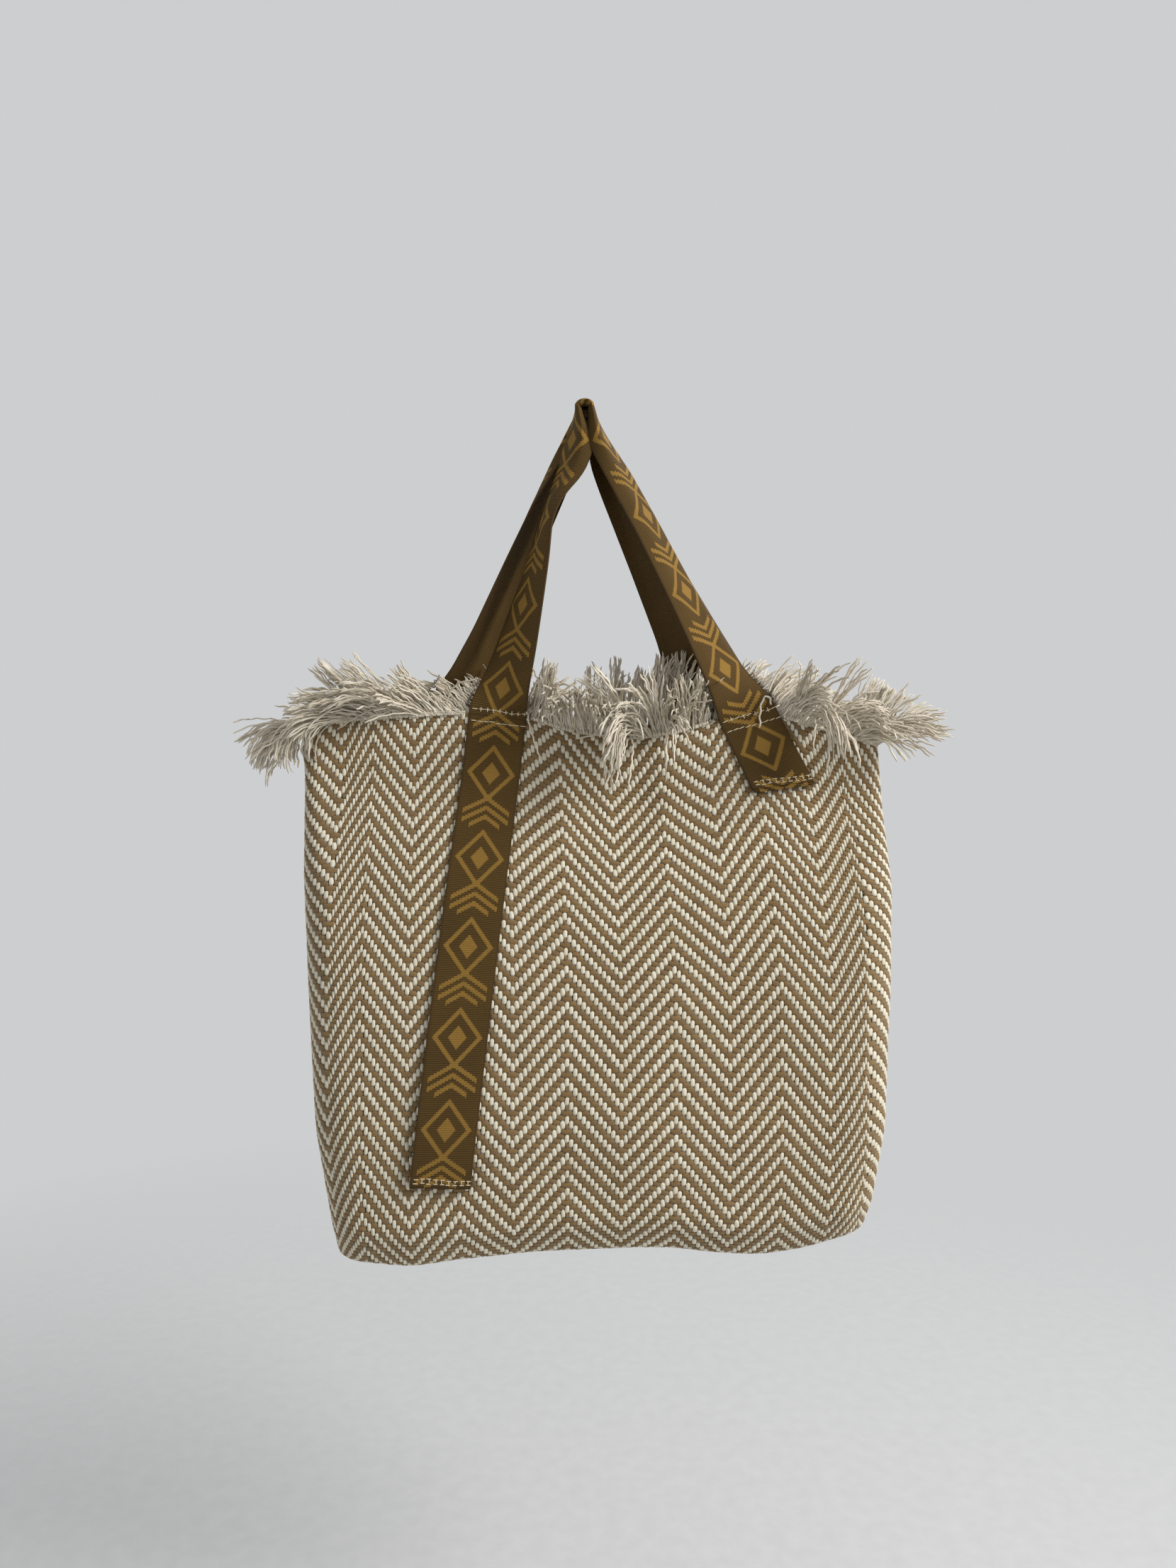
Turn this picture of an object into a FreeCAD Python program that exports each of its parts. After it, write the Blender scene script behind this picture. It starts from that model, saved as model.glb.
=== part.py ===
import FreeCAD, Part
import math
import os
import re
import Sketcher

# A woven beach bag that hangs by its two webbing handles.
# Millimetres, +Z up.  The origin is where the handles rest on a hook, the front faces -Y and
# +X is to the right seen from the front.  The bag's middle plane is Y = 0.
# The back is the front turned half a turn about the bag's own upright middle line.

os.makedirs("parts", exist_ok=True)
doc = FreeCAD.newDocument("BeachBag")

SIZES = [
    ("bag_offset", 10.0, "bag's middle line, to the right of the hook"),
    ("rim_below_hook", 214.0, "hook rest down to the woven rim"),
    ("wall", 2.6, "woven fabric"),
    ("seam_gap", 0.3, "between the front and back halves"),
    ("lining_gap", 1.2, "between fabric and lining"),
    ("lining_thickness", 0.7, ""),
    ("lining_drop", 10.0, "lining's edge below the rim"),
    ("seat_gap", 0.3, "webbing to fabric, and one moving piece to the next"),
    ("web_width", 40.0, "webbing"),
    ("web_thickness", 1.6, ""),
    ("long_foot_x", -69.0, "foot with the long tail, from the bag's middle line"),
    ("long_foot_length", 13.0, "stitched length of webbing"),
    ("long_lean", -6.3, "degrees, a positive lean goes right on the way down"),
    ("long_tail_length", 309.0, ""),
    ("long_tip_lift", 3.0, "free end standing off the fabric"),
    ("short_foot_x", 103.0, "foot with the short tail"),
    ("short_foot_length", 16.0, ""),
    ("short_lean", 26.0, ""),
    ("short_tail_length", 48.0, ""),
    ("short_tip_lift", 4.0, ""),
    ("hem_length", 11.0, "webbing folded back at a tail's end"),
    ("hook_radius", 2.5, "wire that the handles hang on"),
    ("gathered_width", 22.0, "webbing pinched together over the hook"),
    ("gathered_thickness", 3.2, ""),
    ("handle_gap", 1.2, "between the two handles at the hook"),
    ("leg_twist", 70.0, "degrees that a handle turns on its way up to the hook"),
    ("stitch_length", 2.6, ""),
    ("stitch_width", 0.8, ""),
    ("stitch_height", 0.5, "proud of the webbing"),
    ("stitch_pitch", 4.2, ""),
    ("stitch_margin", 2.2, "row to the webbing's edge"),
    ("hem_stitch_drop", 8.0, "row above a tail's end"),
    ("tuft_pitch", 9.0, "fringe, gathered into tufts"),
    ("tuft_width", 7.6, ""),
    ("tuft_depth", 2.3, ""),
    ("tuft_tip_share", 0.6, "a tuft's tip as a share of its root"),
    ("tuft_height", 24.0, ""),
    ("end_tuft_reach", 38.0, "fringe spilling past each side"),
    ("snap_offset", 10.0, "snap, from the bag's middle line"),
    ("snap_drop", 28.0, "snap below the rim"),
    ("snap_diameter", 18.0, ""),
    ("snap_pinch", 5.0, "fabric drawn in where the snap is shut"),
    ("pinch_flat", 12.0, "half width of the drawn-in flat"),
    ("pinch_reach", 30.0, "half width of the whole dimple"),
    ("nub_diameter", 5.0, ""),
    ("nub_length", 1.2, ""),
    ("nub_clearance", 0.4, ""),
    ("post_diameter", 4.0, "rivet through the lining"),
    ("post_clearance", 0.2, ""),
    ("washer_diameter", 14.0, ""),
    ("washer_gap", 0.2, "washer to fabric and to lining"),
]

# The bag's outer shape: how far below the rim, half width, half depth, and half of the flat
# between the rounded front and back corners.
LEVELS = [
    ("rim", 0.0, 200.0, 12.0, 2.0),
    ("band", 44.0, 202.0, 12.0, 2.0),
    ("shoulder", 110.0, 204.0, 30.0, 8.0),
    ("waist", 190.0, 203.0, 41.0, 12.0),
    ("belly", 290.0, 199.0, 50.0, 18.0),
    ("heel", 352.0, 188.0, 48.0, 20.0),
    ("sole", 376.0, 176.0, 34.0, 14.0),
]
PINCHED_LEVELS = ("rim", "band")

# Where a leg's cross-sections lie, as shares of its length from the foot up.
LEG_STATIONS = (0.0, 0.08, 0.12, 0.18, 0.26, 0.36, 0.48, 0.60, 0.72, 0.85, 0.93)
TWIST_START = 0.08
TWIST_END = 0.85
FOLD_STEPS = 6

# The stretch of the front rim where the fringe flops forward, in half widths from the middle.
FLOPPED = (0.10, 0.32)
# Where tufts stand round each end of the rim, in degrees from the seam.
END_TUFT_ANGLES = (8, 34, 62)

FRONT = -1
BACK = 1
SIDE_NAMES = {FRONT: "front", BACK: "back"}
# The snap's place in a half's own frame: the back is turned round, but the halves have to meet.
SNAP_ACROSS = {FRONT: "snap_offset", BACK: "-snap_offset"}
SNAP_UP = "-(rim_below_hook + snap_drop)"

# ---------------------------------------------------------------- sizes

sheet = doc.addObject("Spreadsheet::Sheet", "Sizes")
for level, drop, half_width, half_depth, side_flat in LEVELS:
    SIZES.append((level + "_drop", drop, "below the rim"))
    SIZES.append((level + "_half_width", half_width, ""))
    SIZES.append((level + "_half_depth", half_depth, ""))
    SIZES.append((level + "_side_flat", side_flat, ""))
for row, (name, size, note) in enumerate(SIZES, start=1):
    sheet.set(f"A{row}", name)
    sheet.set(f"B{row}", str(size))
    sheet.set(f"C{row}", note)
    sheet.setAlias(f"B{row}", name)
doc.recompute()
NAMES = {name for name, size, note in SIZES}


def bound(formula):
    """The formula with each size's name pointing at its cell."""
    return re.sub(r"[a-z_]+", lambda m: "Sizes." + m[0] if m[0] in NAMES else m[0], formula)


def measure(formula):
    return float(sheet.evalExpression(bound(formula)))


def bind(target, **formulas):
    for prop, formula in formulas.items():
        target.setExpression(prop, bound(formula))


def bind_place(target, x="0", y="0", z="0"):
    for axis, formula in zip("xyz", (x, y, z)):
        target.setExpression("Placement.Base." + axis, bound(formula))


# ---------------------------------------------------------------- shared shapes


def new_body(label):
    body = doc.addObject("PartDesign::Body", label)
    body.Label = label
    return body


def origin_plane(body, role):
    return next(item for item in body.Origin.OriginFeatures if item.Role == role)


def new_sketch(body, name, role):
    sketch = body.newObject("Sketcher::SketchObject", name)
    sketch.AttachmentSupport = [(origin_plane(body, role), "")]
    sketch.MapMode = "FlatFace"
    return sketch


def constrain(sketch, kind, *where, formula):
    index = sketch.addConstraint(Sketcher.Constraint(kind, *where, measure(formula)))
    sketch.setExpression(f"Constraints[{index}]", bound(formula))


def outline(body, name, role, corners, arcs=None):
    """A closed sketch through the corners; arcs gives the radius of an edge that is round."""
    arcs = arcs or {}
    sketch = new_sketch(body, name, role)
    points = [FreeCAD.Vector(measure(across), measure(up), 0) for across, up in corners]
    middle = sum(points, FreeCAD.Vector()) * (1 / len(points))
    ends = []
    for index, start in enumerate(points):
        end = points[(index + 1) % len(points)]
        if index not in arcs:
            sketch.addGeometry(Part.LineSegment(start, end))
            ends.append((1, 2))
            continue
        radius = measure(arcs[index])
        chord = end - start
        outward = FreeCAD.Vector(-chord.y, chord.x, 0).normalize()
        if outward.dot(start + chord * 0.5 - middle) < 0:
            outward = outward * -1
        rise = radius - math.sqrt(radius**2 - (chord.Length / 2) ** 2)
        sketch.addGeometry(Part.Arc(start, start + chord * 0.5 + outward * rise, end))
        starts_here = sketch.Geometry[index].StartPoint.distanceToPoint(start) < 1e-6
        ends.append((1, 2) if starts_here else (2, 1))
    for index, (across, up) in enumerate(corners):
        following = (index + 1) % len(corners)
        sketch.addConstraint(
            Sketcher.Constraint("Coincident", index, ends[index][1], following, ends[following][0])
        )
        constrain(sketch, "DistanceX", -1, 1, index, ends[index][0], formula=across)
        constrain(sketch, "DistanceY", -1, 1, index, ends[index][0], formula=up)
    for index, radius in arcs.items():
        constrain(sketch, "Radius", index, formula=radius)
    return sketch


def disc(body, name, across, up, diameter):
    """A circle sketched on the body's XZ plane."""
    sketch = new_sketch(body, name, "XZ_Plane")
    centre = FreeCAD.Vector(measure(across), measure(up), 0)
    up_axis = FreeCAD.Vector(0, 0, 1)
    sketch.addGeometry(Part.Circle(centre, up_axis, measure(diameter) / 2))
    constrain(sketch, "DistanceX", -1, 1, 0, 3, formula=across)
    constrain(sketch, "DistanceY", -1, 1, 0, 3, formula=up)
    constrain(sketch, "Diameter", 0, formula=diameter)
    return sketch


def extrude(body, kind, name, sketch, length, turned=False):
    """A pad or pocket along its plane's own direction, or turned against it."""
    feature = body.newObject("PartDesign::" + kind, name)
    feature.Profile = sketch
    feature.Reversed = turned
    bind(feature, Length=length)
    return feature


def put_on_side(part, side, across, outward, up, turn=None):
    """Places a piece drawn for the front, or turns it half a turn onto the back."""
    turn = turn or FreeCAD.Rotation()
    half_turn = FreeCAD.Rotation(FreeCAD.Vector(0, 0, 1), 180 if side == BACK else 0)
    part.Placement = FreeCAD.Placement(FreeCAD.Vector(), half_turn * turn)
    across_sign = "-" if side == BACK else "+"
    outward_sign = "+" if side == BACK else "-"
    bind_place(
        part,
        x=f"bag_offset {across_sign} ({across})",
        y=f"0 {outward_sign} ({outward})",
        z=up,
    )


# ---------------------------------------------------------------- panels and linings


def half_section(body, name, side, level, inset, drop):
    """Half of the bag's plan at one level from seam to seam, moved inward by inset."""
    pinch = "snap_pinch" if level in PINCHED_LEVELS else "0"
    width = f"({level}_half_width - ({inset}))"
    depth = f"({level}_half_depth - ({inset}))"
    corner = f"({level}_half_depth - {level}_side_flat - ({inset}))"
    dimple = f"-({depth} - {pinch})"
    corners = [
        (f"-{width}", "-seam_gap / 2"),
        (f"-{width}", f"-{level}_side_flat"),
        (f"-({width} - {corner})", f"-{depth}"),
        (f"{SNAP_ACROSS[side]} - pinch_reach", f"-{depth}"),
        (f"{SNAP_ACROSS[side]} - pinch_flat", dimple),
        (f"{SNAP_ACROSS[side]} + pinch_flat", dimple),
        (f"{SNAP_ACROSS[side]} + pinch_reach", f"-{depth}"),
        (f"{width} - {corner}", f"-{depth}"),
        (width, f"-{level}_side_flat"),
        (width, "-seam_gap / 2"),
    ]
    sketch = outline(body, name, "XY_Plane", corners, arcs={1: corner, 7: corner})
    sketch.setExpression("AttachmentOffset.Base.z", bound(f"-(rim_below_hook + {drop})"))
    return sketch


def half_loft(body, kind, side, inset, top_drop):
    """Straight-sided loft from level to level; its floor is inset like its walls."""
    drops = {level: f"{level}_drop" for level, *_ in LEVELS}
    drops["rim"] = top_drop
    drops["sole"] = f"sole_drop - ({inset})"
    sections = []
    for level, drop in drops.items():
        sections.append(half_section(body, f"{kind}_{level}", side, level, inset, drop))
    loft = body.newObject("PartDesign::" + kind, kind)
    loft.Profile = sections[0]
    loft.Sections = sections[1:]
    loft.Ruled = True


def shell(label, side, inset, thickness, top_drop):
    """Half a bag, open on top and along the seams, with half of the floor."""
    body = new_body(label)
    half_loft(body, "AdditiveLoft", side, inset, top_drop)
    half_loft(body, "SubtractiveLoft", side, f"{inset} + {thickness}", top_drop)
    put_on_side(body, side, "0", "0", "0")
    return body


def panel(side):
    return shell(SIDE_NAMES[side] + "_panel", side, "0", "wall", "rim_drop")


def lining(side):
    """The lining has a hole for the snap's post."""
    label = SIDE_NAMES[side] + "_lining"
    body = shell(label, side, "wall + lining_gap", "lining_thickness", "lining_drop")
    diameter = "post_diameter + 2 * post_clearance"
    hole = disc(body, "PostHole", SNAP_ACROSS[side], SNAP_UP, diameter)
    extrude(body, "Pocket", "PostPocket", hole, "rim_half_depth", turned=True)
    return body


# ---------------------------------------------------------------- snap

LINING_FACE = "(rim_half_depth - snap_pinch - wall - lining_gap - lining_thickness)"
SNAP_THICKNESS = f"({LINING_FACE} - seam_gap / 2)"


def snap_half(label, side, has_nub):
    """A magnet case on the lining with a rivet post through it."""
    body = new_body(label)
    case = disc(body, "Case", "0", "0", "snap_diameter")
    extrude(body, "Pad", "CasePad", case, SNAP_THICKNESS, turned=True)
    post = disc(body, "Post", "0", "0", "post_diameter")
    post_length = "lining_thickness + lining_gap - washer_gap"
    extrude(body, "Pad", "PostPad", post, post_length)
    if has_nub:
        nub = disc(body, "Nub", "0", "0", "nub_diameter")
        nub_reach = f"{SNAP_THICKNESS} + seam_gap + nub_length"
        extrude(body, "Pad", "NubPad", nub, nub_reach, turned=True)
    else:
        socket = disc(body, "Socket", "0", "0", "nub_diameter + 2 * nub_clearance")
        socket.setExpression("AttachmentOffset.Base.z", bound(f"-{SNAP_THICKNESS}"))
        extrude(body, "Pocket", "SocketPocket", socket, "nub_length + nub_clearance", turned=True)
    put_on_side(body, side, SNAP_ACROSS[side], LINING_FACE, SNAP_UP)
    return body


def snap_washer(label, side):
    """The ring that the post is riveted over, between lining and fabric."""
    ring = doc.addObject("Part::Cylinder", label + "_ring")
    bind(ring, Radius="washer_diameter / 2", Height="lining_gap - 2 * washer_gap")
    hole = doc.addObject("Part::Cylinder", label + "_hole")
    bind(hole, Radius="post_diameter / 2 + post_clearance", Height="lining_gap")
    washer = doc.addObject("Part::Cut", label)
    washer.Label = label
    washer.Base = ring
    washer.Tool = hole
    # Cylinders rise along Z, so the washer is laid over to face along Y.
    lay_over = FreeCAD.Rotation(FreeCAD.Vector(1, 0, 0), 90)
    outward = f"{LINING_FACE} + lining_thickness + washer_gap"
    put_on_side(washer, side, SNAP_ACROSS[side], outward, SNAP_UP, lay_over)
    return washer


# ---------------------------------------------------------------- strap feet and tails

SEAT = "(rim_half_depth + seat_gap)"


def strap_foot(side, end):
    """The stitched-down piece of webbing: level on top, square to the tail at the bottom."""
    body = new_body(f"{SIDE_NAMES[side]}_{end}_foot")
    lean = f"{end}_lean"
    half_top = f"web_width / (2 * cos({lean}))"
    slip = f"seat_gap * tan({lean})"
    middle = f"{end}_foot_length * sin({lean})"
    bottom = f"{end}_foot_length * cos({lean})"
    half_run = f"web_width / 2 * cos({lean})"
    half_rise = f"web_width / 2 * sin({lean})"
    corners = [
        (f"{slip} - {half_top}", "-seat_gap"),
        (f"{middle} - {half_run}", f"-({bottom}) - {half_rise}"),
        (f"{middle} + {half_run}", f"-({bottom}) + {half_rise}"),
        (f"{slip} + {half_top}", "-seat_gap"),
    ]
    sketch = outline(body, "Foot", "XZ_Plane", corners)
    extrude(body, "Pad", "FootPad", sketch, "web_thickness")
    put_on_side(body, side, f"{end}_foot_x", SEAT, "-rim_below_hook")
    return body


def bend_station(end, level):
    """Along the tail from the rim: where its lower corner comes to that level of the bag."""
    lean = f"{end}_lean"
    return f"(({level}_drop - web_width / 2 * abs(sin({lean}))) / cos({lean}))"


def tail_stations(end):
    """Places along a tail and how far its inner face stands out from the rim's there."""
    bends = ("band", "shoulder", "waist") if end == "long" else ("band",)
    following = {"band": "shoulder", "waist": "belly"}[bends[-1]]
    last = bends[-1]
    grows = f"({following}_half_depth - {last}_half_depth)"
    slope = f"({grows} / ({following}_drop - {last}_drop) * cos({end}_lean))"
    tip = f"({end}_foot_length + {end}_tail_length)"
    run = f"({tip} - {bend_station(end, last)})"
    stations = [(f"({end}_foot_length + seat_gap)", "0")]
    for level in bends:
        stations.append((bend_station(end, level), f"({level}_half_depth - rim_half_depth)"))
    last_out = stations[-1][1]
    steep = f"({slope} + {end}_tip_lift / {run})"
    for station in (f"({tip} - hem_length)", tip):
        out = f"({last_out} + ({station} - {bend_station(end, last)}) * {steep})"
        stations.append((station, out))
    return stations, steep


def tail_turn(end):
    return FreeCAD.Rotation(FreeCAD.Vector(0, 1, 0), -measure(f"{end}_lean"))


def strap_tail(side, end):
    """Free webbing that follows the bag's front down, its end folded back and hemmed."""
    body = new_body(f"{SIDE_NAMES[side]}_{end}_tail")
    stations, _ = tail_stations(end)
    inner = [(f"-{out}", f"-{station}") for station, out in stations]
    outer = [(f"-{out} - web_thickness", f"-{station}") for station, out in stations]
    hem_top, tip = inner[-2:]
    fold = [(f"{out} + web_thickness", station) for out, station in (hem_top, tip)]
    del outer[-2]
    corners = inner[:-1] + fold + outer[::-1]
    sketch = outline(body, "Profile", "YZ_Plane", corners)
    pad = body.newObject("PartDesign::Pad", "TailPad")
    pad.Profile = sketch
    pad.Midplane = True
    bind(pad, Length="web_width")
    put_on_side(body, side, f"{end}_foot_x", SEAT, "-rim_below_hook", tail_turn(end))
    return body


# ---------------------------------------------------------------- stitches


def side_frame(side, end):
    """Placement of a strap's own frame: its foot's middle on the rim, on the webbing's seat."""
    half_turn = FreeCAD.Rotation(FreeCAD.Vector(0, 0, 1), 180 if side == BACK else 0)
    across = measure(f"{end}_foot_x")
    x = measure("bag_offset") + (-across if side == BACK else across)
    y = measure(SEAT) * (1 if side == BACK else -1)
    base = FreeCAD.Vector(x, y, -measure("rim_below_hook"))
    return FreeCAD.Placement(base, half_turn)


def stitch_row(label, frame, half_run):
    """Stitches along the frame's X axis, lying on its XZ plane and standing towards -Y."""
    stitches = []
    pitch = measure("stitch_pitch")
    length = measure("stitch_length")
    count = int(2 * half_run / pitch)
    for index in range(count):
        stitch = doc.addObject("Part::Box", f"{label}_{index}")
        bind(stitch, Length="stitch_length", Width="stitch_height", Height="stitch_width")
        along = (index - (count - 1) / 2) * pitch - length / 2
        corner = FreeCAD.Vector(along, -measure("stitch_height"), -measure("stitch_width") / 2)
        stitch.Placement = frame * FreeCAD.Placement(corner, FreeCAD.Rotation())
        stitches.append(stitch)
    return stitches


def stitch_group(label, stitches):
    group = doc.addObject("Part::Compound", label)
    group.Label = label
    group.Links = stitches
    return group


def foot_stitches(side, end):
    """One row level under the rim and one square to the tail."""
    label = f"{SIDE_NAMES[side]}_{end}_foot_stitches"
    frame = side_frame(side, end)
    face = -measure("web_thickness")
    margin = measure("stitch_margin")
    half_run = measure("web_width") / 2 - margin
    upper_base = FreeCAD.Vector(0, face, -measure("seat_gap") - margin)
    upper = frame * FreeCAD.Placement(upper_base, FreeCAD.Rotation())
    tail_frame = FreeCAD.Placement(FreeCAD.Vector(), tail_turn(end))
    lower_base = FreeCAD.Vector(0, face, -measure(f"{end}_foot_length") + margin)
    lower = frame * tail_frame * FreeCAD.Placement(lower_base, FreeCAD.Rotation())
    rows = stitch_row(label + "_upper", upper, half_run)
    rows += stitch_row(label + "_lower", lower, half_run)
    return stitch_group(label, rows)


def hem_stitches(side, end):
    label = f"{SIDE_NAMES[side]}_{end}_hem_stitches"
    stations, steep = tail_stations(end)
    tip_station, tip_out = stations[-1]
    rise = measure("hem_stitch_drop")
    slope = measure(steep)
    out = measure(tip_out) - rise * slope + measure("web_thickness")
    tilt = FreeCAD.Rotation(FreeCAD.Vector(1, 0, 0), -math.degrees(math.atan(slope)))
    base = FreeCAD.Vector(0, -out, -measure(tip_station) + rise)
    frame = side_frame(side, end) * FreeCAD.Placement(FreeCAD.Vector(), tail_turn(end))
    row = frame * FreeCAD.Placement(base, tilt)
    half_run = measure("web_width") / 2 - measure("stitch_margin")
    return stitch_group(label, stitch_row(label + "_row", row, half_run))


# ---------------------------------------------------------------- handles


def ribbon_section(centre, across, through, width, thickness):
    corners = []
    for along, out in ((-1, -1), (1, -1), (1, 1), (-1, 1)):
        corners.append(centre + across * (along * width / 2) + through * (out * thickness / 2))
    return Part.makePolygon(corners + corners[:1])


def blend(low, high, share):
    return low + (high - low) * share


def leg_sections(foot, centre, radius, toward):
    """Cross-sections of one leg from its foot up to the hook.

    toward is +1 for a leg that goes right on the way up, and -1 for one that goes left.
    """
    run = (centre.x - foot.x) * toward
    climb = centre.z - foot.z
    lean = math.atan2(run, climb) - math.asin(radius / math.hypot(run, climb))
    inward = FreeCAD.Vector(toward * math.cos(lean), 0, -math.sin(lean))
    front = FreeCAD.Vector(0, -1, 0)
    top = centre - inward * radius
    sections = []
    for share in LEG_STATIONS:
        turned = min(1, max(0, share - TWIST_START) / (TWIST_END - TWIST_START))
        rest = max(0, share - TWIST_END) / (1 - TWIST_END)
        full_twist = measure("leg_twist")
        twist = math.radians(full_twist * math.sqrt(turned) + (90 - full_twist) * rest)
        width = blend(measure("web_width"), measure("gathered_width"), share)
        thickness = blend(measure("web_thickness"), measure("gathered_thickness"), share**2)
        across = inward * math.cos(twist) + front * math.sin(twist)
        through = front * math.cos(twist) - inward * math.sin(twist)
        middle = blend(foot, top, share)
        middle.y = blend(foot.y, centre.y, share**2)
        if share == 0:
            # The leg starts level, all along the fold line.
            across = FreeCAD.Vector(toward, 0, 0)
            width = width / math.cos(lean)
        sections.append(ribbon_section(middle, across, through, width, thickness))
    return sections, lean


def handle(side):
    """One strap from foot to foot: each leg turns a quarter turn and is gathered on the hook."""
    apex_x = measure("bag_offset") * side
    foot_y = -measure(f"{SEAT} + web_thickness / 2")
    foot_z = -measure("rim_below_hook - seat_gap")
    apex_y = -measure("gathered_width / 2 + handle_gap / 2")
    centre = FreeCAD.Vector(apex_x, apex_y, -measure("hook_radius"))
    radius = measure("hook_radius + gathered_thickness / 2")
    long_foot = FreeCAD.Vector(measure("long_foot_x"), foot_y, foot_z)
    short_foot = FreeCAD.Vector(measure("short_foot_x"), foot_y, foot_z)
    rising, rising_lean = leg_sections(long_foot, centre, radius, 1)
    falling, falling_lean = leg_sections(short_foot, centre, radius, -1)
    over = []
    for step in range(FOLD_STEPS + 1):
        angle = blend(math.pi - rising_lean, falling_lean, step / FOLD_STEPS)
        outward = FreeCAD.Vector(math.cos(angle), 0, math.sin(angle))
        width = measure("gathered_width")
        thickness = measure("gathered_thickness")
        middle = centre + outward * radius
        front = FreeCAD.Vector(0, -1, 0)
        over.append(ribbon_section(middle, front, outward, width, thickness))
    feature = doc.addObject("Part::Feature", SIDE_NAMES[side] + "_handle")
    feature.Label = SIDE_NAMES[side] + "_handle"
    feature.Shape = Part.makeLoft(rising + over + falling[::-1], True, True)
    put_on_side(feature, side, "0", "0", "0")
    return feature


# ---------------------------------------------------------------- fringe


def rim_line(across):
    """How far the rim's middle line stands out from the seam plane, in front or behind."""
    depth = measure("rim_half_depth - wall / 2")
    pinch = measure("snap_pinch")
    away = abs(across - measure("snap_offset"))
    flat = measure("pinch_flat")
    reach = measure("pinch_reach")
    if away >= reach:
        return depth
    return depth - pinch * min(1, (reach - away) / (reach - flat))


def tuft(name, root, tip, width):
    """A slanted bundle of yarn that stands flush on the rim."""
    rings = []
    for part, place, share in (("root", root, "1"), ("tip", tip, "tuft_tip_share")):
        ring = doc.addObject("Part::Ellipse", f"{name}_{part}")
        bind(ring, MajorRadius=f"{width} / 2 * {share}", MinorRadius=f"tuft_depth / 2 * {share}")
        ring.Placement.Base = place
        rings.append(ring)
    bundle = doc.addObject("Part::Loft", name)
    bundle.Sections = rings
    bundle.Solid = True
    bundle.Ruled = True
    return bundle


def rim_tufts(label, side):
    """Tufts all along the rim; on the front a few flop forward between the feet."""
    height = measure("tuft_height")
    pitch = measure("tuft_pitch")
    straight = measure("rim_half_width - rim_half_depth + rim_side_flat")
    count = int(2 * straight / pitch)
    tufts = []
    for index in range(count):
        across = (index - (count - 1) / 2) * pitch
        lift = height * (0.85 + 0.15 * math.sin(index * 2.4))
        sway = 0.25 * height * math.sin(index * 0.45)
        inward = 0.08 * height
        if side == FRONT and FLOPPED[0] < across / straight < FLOPPED[1]:
            lift = 0.35 * height
            inward = -0.8 * height
        rim = -measure("rim_below_hook")
        root = FreeCAD.Vector(measure("bag_offset") + across, side * rim_line(across), rim)
        tip = root + FreeCAD.Vector(sway, -side * inward, lift)
        tufts.append(tuft(f"{label}_{index}", root, tip, "tuft_width"))
    return tufts


def end_tufts(label, side):
    """Narrow tufts round both ends of the rim that reach out past the bag's sides."""
    height = measure("tuft_height")
    bend = measure("rim_half_depth - rim_side_flat - wall / 2")
    centre = measure("rim_half_width - rim_half_depth + rim_side_flat")
    tufts = []
    for end in (-1, 1):
        for index, degrees in enumerate(END_TUFT_ANGLES):
            angle = math.radians(degrees)
            across = end * (centre + bend * math.cos(angle))
            out = measure("rim_side_flat") + bend * math.sin(angle)
            reach = measure("end_tuft_reach") * (1 - 0.3 * index)
            rim = -measure("rim_below_hook")
            root = FreeCAD.Vector(measure("bag_offset") + across, side * out, rim)
            tip = root + FreeCAD.Vector(end * reach, side * index, height * (0.3 + 0.3 * index))
            tufts.append(tuft(f"{label}_end_{end + 1}_{index}", root, tip, "tuft_depth"))
    return tufts


def fringe(side):
    label = SIDE_NAMES[side] + "_fringe"
    group = doc.addObject("Part::Compound", label)
    group.Label = label
    group.Links = rim_tufts(label, side) + end_tufts(label, side)
    return group


# ---------------------------------------------------------------- the bag


def half_bag(side):
    pieces = [panel(side), lining(side), fringe(side), handle(side)]
    for end in ("long", "short"):
        pieces.append(strap_foot(side, end))
        pieces.append(foot_stitches(side, end))
        pieces.append(strap_tail(side, end))
        pieces.append(hem_stitches(side, end))
    return pieces


subparts = half_bag(FRONT) + half_bag(BACK)
subparts.append(snap_half("snap_socket", FRONT, has_nub=False))
subparts.append(snap_half("snap_stud", BACK, has_nub=True))
subparts.append(snap_washer("socket_washer", FRONT))
subparts.append(snap_washer("stud_washer", BACK))
doc.recompute()

for item in doc.Objects:
    if "Invalid" in item.State or "Error" in item.State:
        raise RuntimeError(f"{item.Label} failed: {item.State}")
for piece in subparts:
    if piece.Shape.isNull() or not piece.Shape.isValid():
        raise RuntimeError(f"{piece.Label} has no valid shape")
for piece in subparts:
    solids = piece.Shape.Solids
    print(f"{piece.Label:28s} {len(solids):3d} solids {piece.Shape.Volume:12.1f} mm3")
    piece.Shape.exportStep(f"parts/{piece.Label}.step")
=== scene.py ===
import math
from contextlib import contextmanager
from functools import partialmethod

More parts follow.
